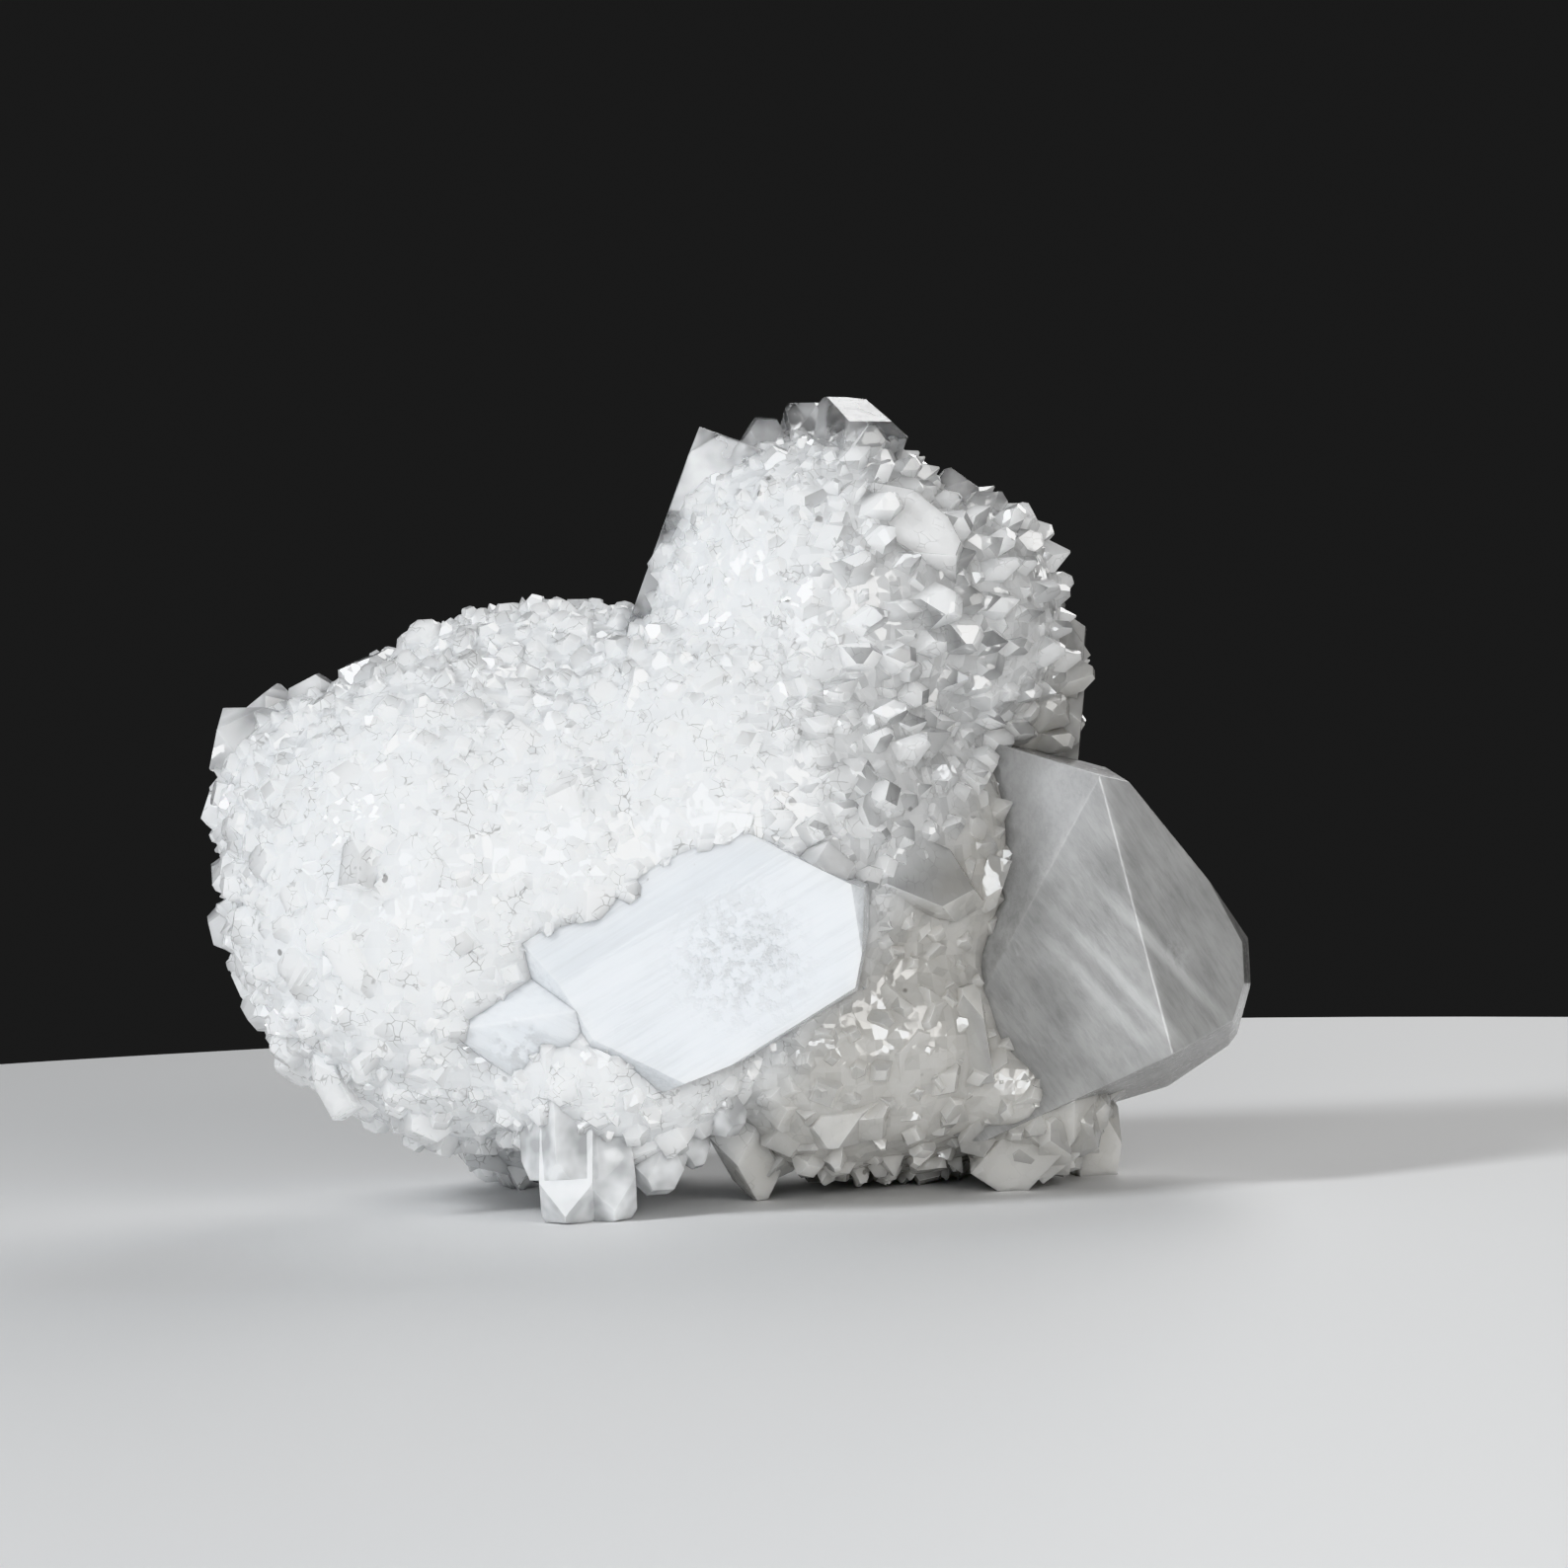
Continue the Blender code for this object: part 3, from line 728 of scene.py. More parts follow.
class Graph:
    """The nodes of one material."""

    def __init__(self, name: str) -> None:
        """Starts an empty material of that name."""
        self.material = bpy.data.materials.new(name)
        self.material.use_nodes = True
        self.tree = self.material.node_tree
        self.tree.nodes.clear()

    def node(
        self, kind: str, settings: dict[str, Any] | None = None, inputs: dict[Any, Any] | None = None, output: Any = 0
    ) -> Wire:
        """Adds a node.

        Args:
            kind: The node's type.
            settings: Its settings, set first, with a ramp's stops as pairs of place and colour.
            inputs: The values or links of its sockets.
            output: The socket that is wanted.

        Returns:
            That output.
        """
        made = self.tree.nodes.new(kind)
        for key, value in (settings or {}).items():
            if key == "stops":
                for element, (place, colour) in zip(made.color_ramp.elements, value):
                    element.position = place
                    element.color = colour
            else:
                setattr(made, key, value)
        for key, value in (inputs or {}).items():
            if isinstance(value, Wire):
                self.tree.links.new(value.socket, made.inputs[key])
            else:
                made.inputs[key].default_value = value
        return Wire(self, made.outputs[output])

    def place(self) -> Wire:
        """The part's own coordinates, in metres."""
        return self.node("ShaderNodeTexCoord", output="Object")

    def along(self, direction: Numbers, squeeze: float) -> Wire:
        """The part's coordinates turned so that Z runs along a direction, and squeezed along it.

        Args:
            direction: The direction of the pattern's streaks.
            squeeze: The share of its scale that is kept along the streaks.

        Returns:
            The turned coordinates.
        """
        turn = Vector(direction).normalized().rotation_difference(Vector((0, 0, 1))).to_euler()
        turned = self.node(
            "ShaderNodeMapping", {"vector_type": "POINT"}, {"Vector": self.place(), "Rotation": tuple(turn)}
        )
        return self.node("ShaderNodeMapping", {"vector_type": "POINT"}, {"Vector": turned, "Scale": (1, 1, squeeze)})

    def noise(self, size_mm: float, detail: float = 2.0, roughness: float = 0.5, vector: Wire | None = None) -> Wire:
        """A soft noise whose patches are about that wide.

        Args:
            size_mm: The width of its patches.
            detail: How many finer layers it has.
            roughness: How strong they are.
            vector: The coordinates that it reads, or the part's own.

        Returns:
            The noise, about 0.5 on average.
        """
        values = {"Vector": vector or self.place(), "Scale": 1 / (size_mm * MM), "Detail": detail}
        return self.node("ShaderNodeTexNoise", inputs={**values, "Roughness": roughness})

    def specks(self, size_mm: float, share: float) -> Wire:
        """One on scattered small specks, and zero elsewhere.

        Args:
            size_mm: The spacing of the cells that may hold a speck.
            share: The radius of a speck, as a share of its cell.

        Returns:
            The mask.
        """
        wobble = self.noise(size_mm * 0.4, 2)
        cells = self.node(
            "ShaderNodeTexVoronoi",
            {"feature": "F1"},
            {"Vector": self.place(), "Scale": 1 / (size_mm * MM), "Randomness": 1.0},
            output="Distance",
        )
        return (cells + (wobble - 0.5) * 0.25).between(share, share * 0.6)

    def facet(self, turn: float = 1.0) -> Wire:
        """The facet's own number from 0 to 1, or another one of it for another turn."""
        number = self.node("ShaderNodeAttribute", {"attribute_name": "facet"}, output="Fac")
        return (number * turn).math("FRACT")

    def shards(self, size_mm: float, tilt: Wire | float) -> tuple[Wire, Wire]:
        """Breaks a surface up into irregular flat shards.

        Args:
            size_mm: How wide they are.
            tilt: How much they lean from the surface.

        Returns:
            The shards' normal and the thin lines between them.
        """
        wander = {"Vector": self.place(), "Scale": 0.5 / (size_mm * MM)}
        wobble = self.vector("SUBTRACT", self.node("ShaderNodeTexNoise", inputs=wander, output="Color"), (0.5, 0.5, 0.5))
        bent = self.vector("ADD", self.place(), self.vector("SCALE", wobble, 0.9 * size_mm * MM))
        values = {"Vector": bent, "Scale": 1 / (size_mm * MM), "Randomness": 1.0}
        lean = self.node("ShaderNodeTexVoronoi", {"feature": "F1"}, values, output="Color")
        gap = self.node("ShaderNodeTexVoronoi", {"feature": "DISTANCE_TO_EDGE"}, values, output="Distance")
        lean = self.vector("SCALE", self.vector("SUBTRACT", lean, (0.5, 0.5, 0.5)), tilt)
        rounded = self.node("ShaderNodeBevel", {"samples": 4}, {"Radius": EDGE_MM * MM}, output="Normal")
        return self.vector("NORMALIZE", self.vector("ADD", rounded, lean)), gap.between(0.05, 0.01)

    def vector(self, operation: str, first: Wire, second: Any = None) -> Wire:
        """Adds one Vector Math node.

        Args:
            operation: The node's operation.
            first: The first vector.
            second: The second vector, or the factor of a scaling.

        Returns:
            The result.
        """
        inputs = {0: first}
        if second is not None:
            inputs["Scale" if operation == "SCALE" else 1] = second
        return self.node("ShaderNodeVectorMath", {"operation": operation}, inputs)

    def lines(self, across: Numbers, places: Numbers, half_mm: float) -> Wire | float:
        """One along some straight lines and zero beside them.

        Args:
            across: The direction across the lines.
            places: Where each one lies in that direction, in the specimen's millimetres.
            half_mm: Half of a line's width.

        Returns:
            The mask.
        """
        mask = 0.0
        for place in places:
            away = (self.reach(across) - (place - MIDDLE.dot(Vector(across))) * MM).math("ABSOLUTE")
            mask = away.between(half_mm * MM, half_mm * 0.3 * MM) + mask
        return mask

    def reach(self, direction: Numbers) -> Wire:
        """How far a point lies from the part's origin in a direction, in metres."""
        inputs = {0: self.place(), 1: direction}
        return self.node("ShaderNodeVectorMath", {"operation": "DOT_PRODUCT"}, inputs, output="Value")

    def near(self, point: Numbers, radius_mm: float) -> Wire:
        """One at a point given in the specimen's millimetres, falling to zero at the radius."""
        inputs = {0: self.place(), 1: tuple(spot(*point))}
        away = self.node("ShaderNodeVectorMath", {"operation": "DISTANCE"}, inputs, output="Value")
        return away.between(radius_mm * MM, radius_mm * 0.4 * MM)

    def blend(self, factor: Wire | float, first: Any, second: Any) -> Wire:
        """A colour between two, as wires or as four numbers."""
        return self.node("ShaderNodeMix", {"data_type": "RGBA"}, {0: factor, 6: first, 7: second}, output=2)

    def bump(self, height: Wire, depth_mm: float, strength: float, normal: Wire) -> Wire:
        """The surface's normal under a relief of that depth, on top of another normal."""
        values = {"Height": height, "Distance": depth_mm * MM, "Strength": strength, "Normal": normal}
        return self.node("ShaderNodeBump", inputs=values, output="Normal")

    def milk(self, colour: Any, roughness: Any, depth_mm: float, normal: Wire, sheen: float = 0.5) -> Wire:
        """A glossy surface over a milky inside that scatters the light.

        Args:
            colour: The milk's colour.
            roughness: The surface's roughness.
            depth_mm: How far the light spreads inside.
            normal: The surface's normal.
            sheen: How strongly it mirrors the light, where 0.5 is plain crystal.

        Returns:
            The shader.
        """
        values = {
            "Base Color": colour,
            "Roughness": roughness,
            "IOR": IOR,
            "Subsurface Weight": 1.0,
            "Subsurface Radius": (1.0, 1.0, 1.0),
            "Subsurface Scale": depth_mm * MM,
            "Specular IOR Level": sheen,
            "Normal": normal,
        }
        return self.node("ShaderNodeBsdfPrincipled", {"subsurface_method": "RANDOM_WALK"}, values)

    def glass(self, roughness: Any, normal: Wire) -> Wire:
        """Clear crystal."""
        values = {"Roughness": roughness, "IOR": IOR, "Transmission Weight": 1.0, "Normal": normal}
        return self.node("ShaderNodeBsdfPrincipled", inputs=values)

    def mix(self, factor: Wire, first: Wire, second: Wire) -> Wire:
        """A shader between two."""
        return self.node("ShaderNodeMixShader", inputs={0: factor, 1: first, 2: second})

    def finish(self, surface: Wire, volume: Wire | None = None) -> bpy.types.Material:
        """Ends the material.

        Args:
            surface: The surface's shader.
            volume: The volume's shader, if any.

        Returns:
            The material.
        """
        ends = {"Surface": surface} if volume is None else {"Surface": surface, "Volume": volume}
        made = self.tree.nodes.new("ShaderNodeOutputMaterial")
        for key, wire in ends.items():
            self.tree.links.new(wire.socket, made.inputs[key])
        return self.material


class Finish(ABC):
    """One finish of the specimen."""

    @abstractmethod
    def material(self) -> bpy.types.Material:
        """Makes the material."""


@dataclass(frozen=True)
class MilkyFinish(Finish):
    """Milky crystal under glassy faces: clearer and painted lighter towards the tips, greyer in the gaps with painted
    shade, with painted shade on the right side, a beige tint darkened by painted shade on the lower right, a random
    tone per facet that paints refraction, and specks of dust.
    """

    name: str
    # tip and gap: painted light and shade. tip is the lighter colour where a crystal stands out of the mass, gap the
    # greyer one at its foot, where shade is painted into the crevices; pieces without relief spread them by a noise
    # instead
    tip: Numbers = (0.975, 0.985, 0.995, 1)
    gap: Numbers = (0.90, 0.91, 0.92, 1)
    # Painted shade: the greyer gap colour on the right side, which lies away from the key light
    side_painted_shade: Numbers = (0.74, 0.74, 0.74, 1)
    # warm: a beige tint on the lower right, made darker to paint the shade that falls there
    warm: Numbers = (0.52, 0.505, 0.475, 1)
    # shade: the darker colour of a random tone per facet, which paints the light refracted through each facet
    shade: Numbers = (0.62, 0.63, 0.64, 1)
    crack: Numbers = (0.36, 0.35, 0.34, 1)
    dust: Numbers = (0.16, 0.15, 0.14, 1)
    # slant: the direction towards the lower right, which holds the beige tint and its painted shade
    slant: Numbers = (0.79, 0.0, -0.61)
    depth_mm: float = 3.0
    shard_mm: float = 0.75
    sheen: float = 0.9
    has_relief: bool = True

    def height(self, g: Graph) -> Wire:
        """How near the tip a point is, from 0 to 1."""
        if self.has_relief:
            return g.node("ShaderNodeAttribute", {"attribute_name": "relief_mm"}, output="Fac").between(0.0, 0.8)
        return g.noise(2.5, 3).between(0.25, 0.6)

    def material(self) -> bpy.types.Material:
        """Makes the material."""
        g = Graph(self.name)
        height = self.height(g)
        patches = g.noise(5.0, 3)
        # side marks the right side of the specimen, where shade is painted into the colour and more glass shows
        side = g.reach((1.0, 0.0, 0.0)).between(0.000, 0.011)
        # low marks the lower right, where a beige tint darkened with painted shade goes
        low = g.reach(self.slant).between(-0.0045, -0.0015)
        # The right side away from the lower right: its facets lean more, show more glass and carry a stronger painted
        # refraction tone
        shaded_upper_side = side - side * low * 0.7
        leaning, lines = g.shards(self.shard_mm, 0.22 + shaded_upper_side * 0.04)
        # Painted light and shade: greyer at the crystals' feet (painted shade in the gaps), lighter towards the tips
        # (painted light), with random patches
        colour = g.blend(height * 0.8 + patches * 0.4, g.blend(side, self.gap, self.side_painted_shade), self.tip)
        # Painted refraction: each facet gets its own darker tone, stronger on the shaded right side
        colour = g.blend(g.facet() * (0.19 + shaded_upper_side * 0.11), colour, self.shade)
        # Beige tint on the lower right, darkened to carry painted shade
        colour = g.blend(low * (0.6 + patches * 0.4), colour, self.warm)
        colour = g.blend(lines * g.noise(1.4, 2).between(0.50, 0.60) * (0.7 - side * 0.3 - low * 0.3), colour, self.crack)
        colour = g.blend(g.specks(2.6, 0.09) * g.noise(6.0, 2).between(0.46, 0.60) * 0.7, colour, self.dust)
        normal = g.bump(g.noise(0.6, 3, 0.55), 0.03, 0.30, leaning)
        rough = 0.02 + g.facet(5.3) * 0.12
        window = g.facet(3.7).between(0.45, 0.80) * (0.3 + height * 0.7)
        clear = 0.05 + window * (0.27 + shaded_upper_side * 0.31)
        return g.finish(g.mix(clear, g.milk(colour, rough, self.depth_mm, normal, self.sheen), g.glass(0.03, normal)))


@dataclass(frozen=True)
class ClearFinish(Finish):
    """A clear crystal with milky veils inside, from least to most milk, and a slight absorption."""

    name: str
    least: float = 0.00
    most: float = 0.20
    veil_mm: float = 3.0
    density: float = 6.0
    tint: Numbers = (0.86, 0.88, 0.90, 1)
    cloud: Numbers = (0.92, 0.93, 0.95, 1)

    def material(self) -> bpy.types.Material:
        """Makes the material."""
        g = Graph(self.name)
        normal = g.bump(g.noise(0.9, 3), 0.03, 0.25, g.shards(2.5, 0.06)[0])
        milk = self.least + g.noise(self.veil_mm, 2, 0.4).between(0.36, 0.62) * (self.most - self.least)
        surface = g.mix(milk, g.glass(0.02, normal), g.milk(self.cloud, 0.08, 1.2, normal))
        volume = g.node("ShaderNodeVolumeAbsorption", inputs={"Color": self.tint, "Density": self.density})
        return g.finish(surface, volume)


@dataclass(frozen=True)
class PearlyFinish(Finish):
    """A large crystal's striated pearly faces over a milky inside, with a patch of broken cleavage and, where given, a
    painted highlight.
    """

    name: str
    along: Numbers
    patch: Numbers
    patch_mm: float
    colour: Numbers = (0.86, 0.885, 0.915, 1)
    shade: Numbers = (0.66, 0.68, 0.70, 1)
    flaw: Numbers = (0.52, 0.53, 0.54, 1)
    depth_mm: float = 1.8
    clear: float = 0.12
    # bright: the colour of the lighter bands and of the painted highlight
    bright: Numbers = (0.98, 0.98, 1.0, 1)
    across: Numbers = (1.0, 0.0, 0.0)
    bands: Numbers = ()
    band_mm: float = 8.0
    relief_mm: float = 0.08
    # Painted highlight: a lighter spot round this point, where the light falls on a facet; far away by default
    painted_highlight: Numbers = (0.0, 0.0, 60.0)
    painted_highlight_mm: float = 6.0

    def material(self) -> bpy.types.Material:
        """Makes the material."""
        g = Graph(self.name)
        streaks = g.noise(0.35, 4, 0.65, g.along(self.along, 0.04))
        broad = g.noise(1.6, 3, 0.55, g.along(self.along, 0.10))
        cloud = g.noise(4.0, 3, 0.5)
        veils = cloud.between(0.35, 0.65) * 0.4 + broad.between(0.4, 0.7) * 0.4 + streaks.between(0.45, 0.65) * 0.5
        colour = g.blend(veils, self.colour, self.shade)
        bands = g.lines(self.across, self.bands, 0.55) * g.near(self.patch, self.band_mm) * (0.4 + cloud)
        colour = g.blend(bands * 0.20, colour, self.bright)
        # Painted highlight on the facet that faces the light
        colour = g.blend(g.near(self.painted_highlight, self.painted_highlight_mm) * 0.24, colour, self.bright)
        broken = g.near(self.patch, self.patch_mm) * g.noise(0.7, 3, 0.6).between(0.46, 0.60)
        colour = g.blend(broken * 0.7, colour, self.flaw)
        rough = 0.12 + streaks.between(0.35, 0.7) * 0.20 + broken * 0.15
        relief = streaks * 0.7 + broad * 0.8 - broken * 0.8
        normal = g.bump(relief, self.relief_mm, 0.6, g.shards(2.0, 0.03)[0])
        clear = (0.5 + cloud * 0.5 - bands * 0.4) * self.clear
        return g.finish(g.mix(clear, g.milk(colour, rough, self.depth_mm, normal), g.glass(0.10, normal)))


@dataclass
class Cluster:
    """Neighbouring crystals with one finish, grown into one piece."""

    name: str
    finish: Finish
    crystals: tuple[Tip | Block | Plate, ...]
    soft_edge: float = 0.06
    solids: list[FlatFaces] = field(default_factory=list)

    def build(self) -> bpy.types.Object:
        """Models the crystals, grows them together and dresses them.

        Returns:
            The piece.
        """
        grown = [crystal.build(self.name) for crystal in self.crystals]
        self.solids = [FlatFaces.of(crystal) for crystal in grown]
        for other in grown[1:]:
            Modelling.combine(grown[0], other, "UNION")
        Modelling.stand(grown[0])
        Modelling.soften(grown[0], self.soft_edge)
        return dress(grown[0], self.finish)


def tell_facets_apart(obj: bpy.types.Object) -> None:
    """Gives every flat facet a number of its own from 0 to 1, which all of its triangles share.

    Args:
        obj: The piece.
    """
    faces = obj.data.polygons
    normals, middles = np.empty(3 * len(faces)), np.empty(3 * len(faces))
    faces.foreach_get("normal", normals)
    faces.foreach_get("center", middles)
    normals, middles = normals.reshape(-1, 3), middles.reshape(-1, 3)
    plane = np.column_stack([np.round(normals * 90), np.round((normals * middles).sum(axis=1) / (0.05 * MM))])
    number = np.abs(np.sin(plane @ np.array([12.99, 78.23, 37.72, 4.58])) * 4375.85) % 1.0
    obj.data.attributes.new("facet", "FLOAT", "FACE").data.foreach_set("value", number)


def dress(obj: bpy.types.Object, finish: Finish) -> bpy.types.Object:
    """Gives a piece its finish and lets it ride on the specimen.

    Args:
        obj: The piece.
        finish: Its finish.

    Returns:
        The same object.
    """
    tell_facets_apart(obj)
    obj.data.materials.clear()
    obj.data.materials.append(finish.material())
    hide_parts(NODE)
    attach(obj, BODY)
    return obj


@dataclass
class Studio:
    """The pale floor, the soft lights and the camera."""

    floor_radius: float = 0.16
    floor_colour: Numbers = (0.78, 0.78, 0.78, 1)
    backdrop: Numbers = (0.040, 0.040, 0.040, 1)
    cool: Numbers = (0.95, 0.975, 1.0)
    warm: Numbers = (1.0, 0.985, 0.96)
    aim: Numbers = (0.0, 0.0, 0.024)
    eye: Numbers = (3.9, -271.0, 28.9)
    focal_px: float = 4223.0
    frame_px: float = 1588.0
    horizon_px: float = 36.0
    roll_deg: float = 1.8

    def floor(self) -> None:
        """Lays a plain pale floor."""
        Modelling.deselect()
        bpy.ops.mesh.primitive_circle_add(vertices=96, radius=self.floor_radius, fill_type="NGON")
        floor = bpy.context.object
        floor.name = "floor"
        g = Graph("floor_paint")
        surface = g.node("ShaderNodeBsdfPrincipled", inputs={"Base Color": self.floor_colour, "Roughness": 0.6})
        floor.data.materials.append(g.finish(surface))

    def world(self) -> None:
        """Sets the plain grey that surrounds the studio."""
        world = bpy.data.worlds.new("studio_grey")
        world.use_nodes = True
        world.node_tree.nodes["Background"].inputs["Color"].default_value = self.backdrop
        bpy.context.scene.world = world

    def light(self, name: str, at: Numbers, size: float, watts: float, colour: Numbers = (1.0, 1.0, 1.0)) -> None:
        """Hangs one soft square light.

        Args:
            name: Its name.
            at: Its place in metres.
            size: Its side in metres.
            watts: Its power.
            colour: Its colour.
        """
        lamp = bpy.data.lights.new(name, "AREA")
        lamp.size = size
        lamp.energy = watts
        lamp.color = colour
        obj = bpy.data.objects.new(name, lamp)
        obj.location = at
        obj.rotation_euler = (Vector(self.aim) - Vector(at)).to_track_quat("-Z", "Y").to_euler()
        bpy.context.scene.collection.objects.link(obj)

    def camera(self) -> None:
        """Sets the camera at the photograph's viewpoint."""
        data = bpy.data.cameras.new("camera")
        data.sensor_width = 36
        data.lens = 36 * self.focal_px / self.frame_px
        data.clip_start = 0.01
        camera = bpy.data.objects.new("camera", data)
        bpy.context.scene.collection.objects.link(camera)
        pitch = math.atan(self.horizon_px / self.focal_px)
        look = Vector((0, math.cos(pitch), -math.sin(pitch))).to_track_quat("-Z", "Y")
        camera.rotation_euler = (look @ Quaternion((0, 0, 1), -math.radians(self.roll_deg))).to_euler()
        camera.location = spot(*self.eye)
        bpy.context.scene.camera = camera

    def build(self) -> None:
        """Sets up the studio."""
        self.floor()
        self.world()
        self.light("key", (-0.38, -0.26, 0.32), 0.12, 2.1, self.cool)
        self.light("front", (-0.05, -0.50, 0.10), 0.20, 0.95, self.cool)
        self.light("fill", (0.26, -0.46, 0.14), 0.30, 1.25, self.warm)
        self.light("back", (0.18, 0.42, 0.30), 0.35, 1.2)
        self.camera()
        view = bpy.context.scene.view_settings
        view.view_transform = "Khronos PBR Neutral"
        view.look = "None"


def large_crystals() -> list[Cluster]:
    """The front blade, the broken blade under it, and the block crystal at the right."""
    blade_run = (0.875, 0.0, 0.485)
    block_run = (0.60, 0.0, -0.80)
    front_blade = Block(
        (-1.0, -12.5, 16.0),
        (13.0, 7.0, 11.0),
        (
            ((-0.14, -0.97, 0.20), (0.0, -17.9, 16.0)),
            ((-0.19, -0.97, 0.29), (-0.7, -17.8, 17.4)),
            ((-0.23, -0.96, 0.37), (-1.7, -17.5, 19.6)),
            ((-0.10, -0.98, 0.11), (0.9, -17.8, 14.2)),
            ((-0.06, -0.98, 0.03), (1.9, -17.6, 12.4)),
            ((-0.36, -0.68, 0.64), (0.7, -17.2, 23.0)),
            ((-0.48, -0.10, 0.87), (0.1, -16.0, 24.3)),
            ((0.50, -0.08, -0.86), (3.3, -17.0, 11.5)),
            ((0.34, -0.06, -0.94), (-2.0, -17.0, 8.9)),
            ((1.00, -0.10, -0.05), (8.5, -17.0, 18.5)),
            ((0.97, -0.05, -0.22), (8.2, -17.0, 15.6)),
            ((0.45, -0.10, 0.89), (7.6, -17.0, 20.7)),
            ((0.74, -0.66, 0.10), (7.7, -18.1, 18.5)),
            ((-0.74, -0.56, -0.38), (-9.6, -17.2, 14.5)),
            ((-0.40, -0.60, -0.69), (-4.6, -17.2, 9.6)),
        ),
    )
    lower_blade = Block(
        (-12.0, -11.0, 12.0),
        (9.5, 6.5, 7.0),
        (
            ((-0.20, -0.93, -0.30), (-12.0, -15.7, 11.4)),
            ((-0.28, -0.78, 0.56), (-13.0, -15.6, 13.2)),
            ((-0.58, -0.20, -0.79), (-14.3, -14.5, 9.9)),
            ((-0.42, -0.20, -0.88), (-10.0, -14.5, 7.1)),
            ((0.42, -0.20, -0.88), (-5.6, -14.0, 7.1)),
            ((-0.92, -0.36, 0.05), (-19.4, -13.0, 11.5)),
            ((0.78, -0.58, -0.22), (-8.4, -14.6, 9.6)),
        ),
    )
    block = Block(
        (23.0, 1.0, 16.5),
        (11.5, 11.0, 13.0),
        (
            ((0.55, -0.80, 0.22), (23.9, -7.0, 26.5)),
            ((-0.30, -0.95, 0.05), (23.9, -7.0, 26.5)),
            ((-0.69, -0.66, 0.31), (23.9, -7.0, 26.5)),
            ((0.28, -0.05, 0.95), (22.6, -3.0, 27.2)),
            ((0.79, -0.02, 0.61), (25.8, -1.0, 26.3)),
            ((0.89, -0.12, 0.44), (31.7, -3.0, 18.3)),
            ((0.99, -0.14, 0.03), (33.1, -3.0, 14.2)),
            ((0.95, -0.16, -0.30), (32.8, -3.0, 11.8)),
            ((0.77, -0.18, -0.62), (32.0, -3.0, 9.9)),
            ((0.36, -0.20, -0.92), (29.9, -3.0, 8.4)),
            ((0.50, -0.20, -0.86), (26.4, -3.0, 6.7)),
            ((0.35, 0.93, 0.10), (26.0, 9.5, 16.0)),
            ((-0.20, 0.30, -0.93), (18.0, 0.0, 4.6)),
        ),
    )
    grey = PearlyFinish(
        "block_pearl", block_run, (27.0, -5.0, 14.5), 3.0,
        colour=(0.56, 0.56, 0.555, 1), shade=(0.40, 0.40, 0.395, 1), flaw=(0.98, 0.98, 1.0, 1),
        depth_mm=3.0, clear=0.50, across=(0.75, 0.0, 0.66), bands=(25.95, 27.55, 30.65), relief_mm=0.06,
        # Painted highlight on the block's upper-left facet
        painted_highlight=(20.6, -5.0, 26.0), painted_highlight_mm=7.0,
    )
    return [
        Cluster("front_blade", PearlyFinish("blade_pearl", blade_run, (0.8, -18.0, 16.3), 5.5), (front_blade,), 0.10),
        Cluster("lower_blade", PearlyFinish("lower_pearl", (0.9, 0.0, -0.4), (-13.0, -16.0, 11.0), 2.5), (lower_blade,), 0.10),
        Cluster("block_crystal", grey, (block,), 0.08),
    ]


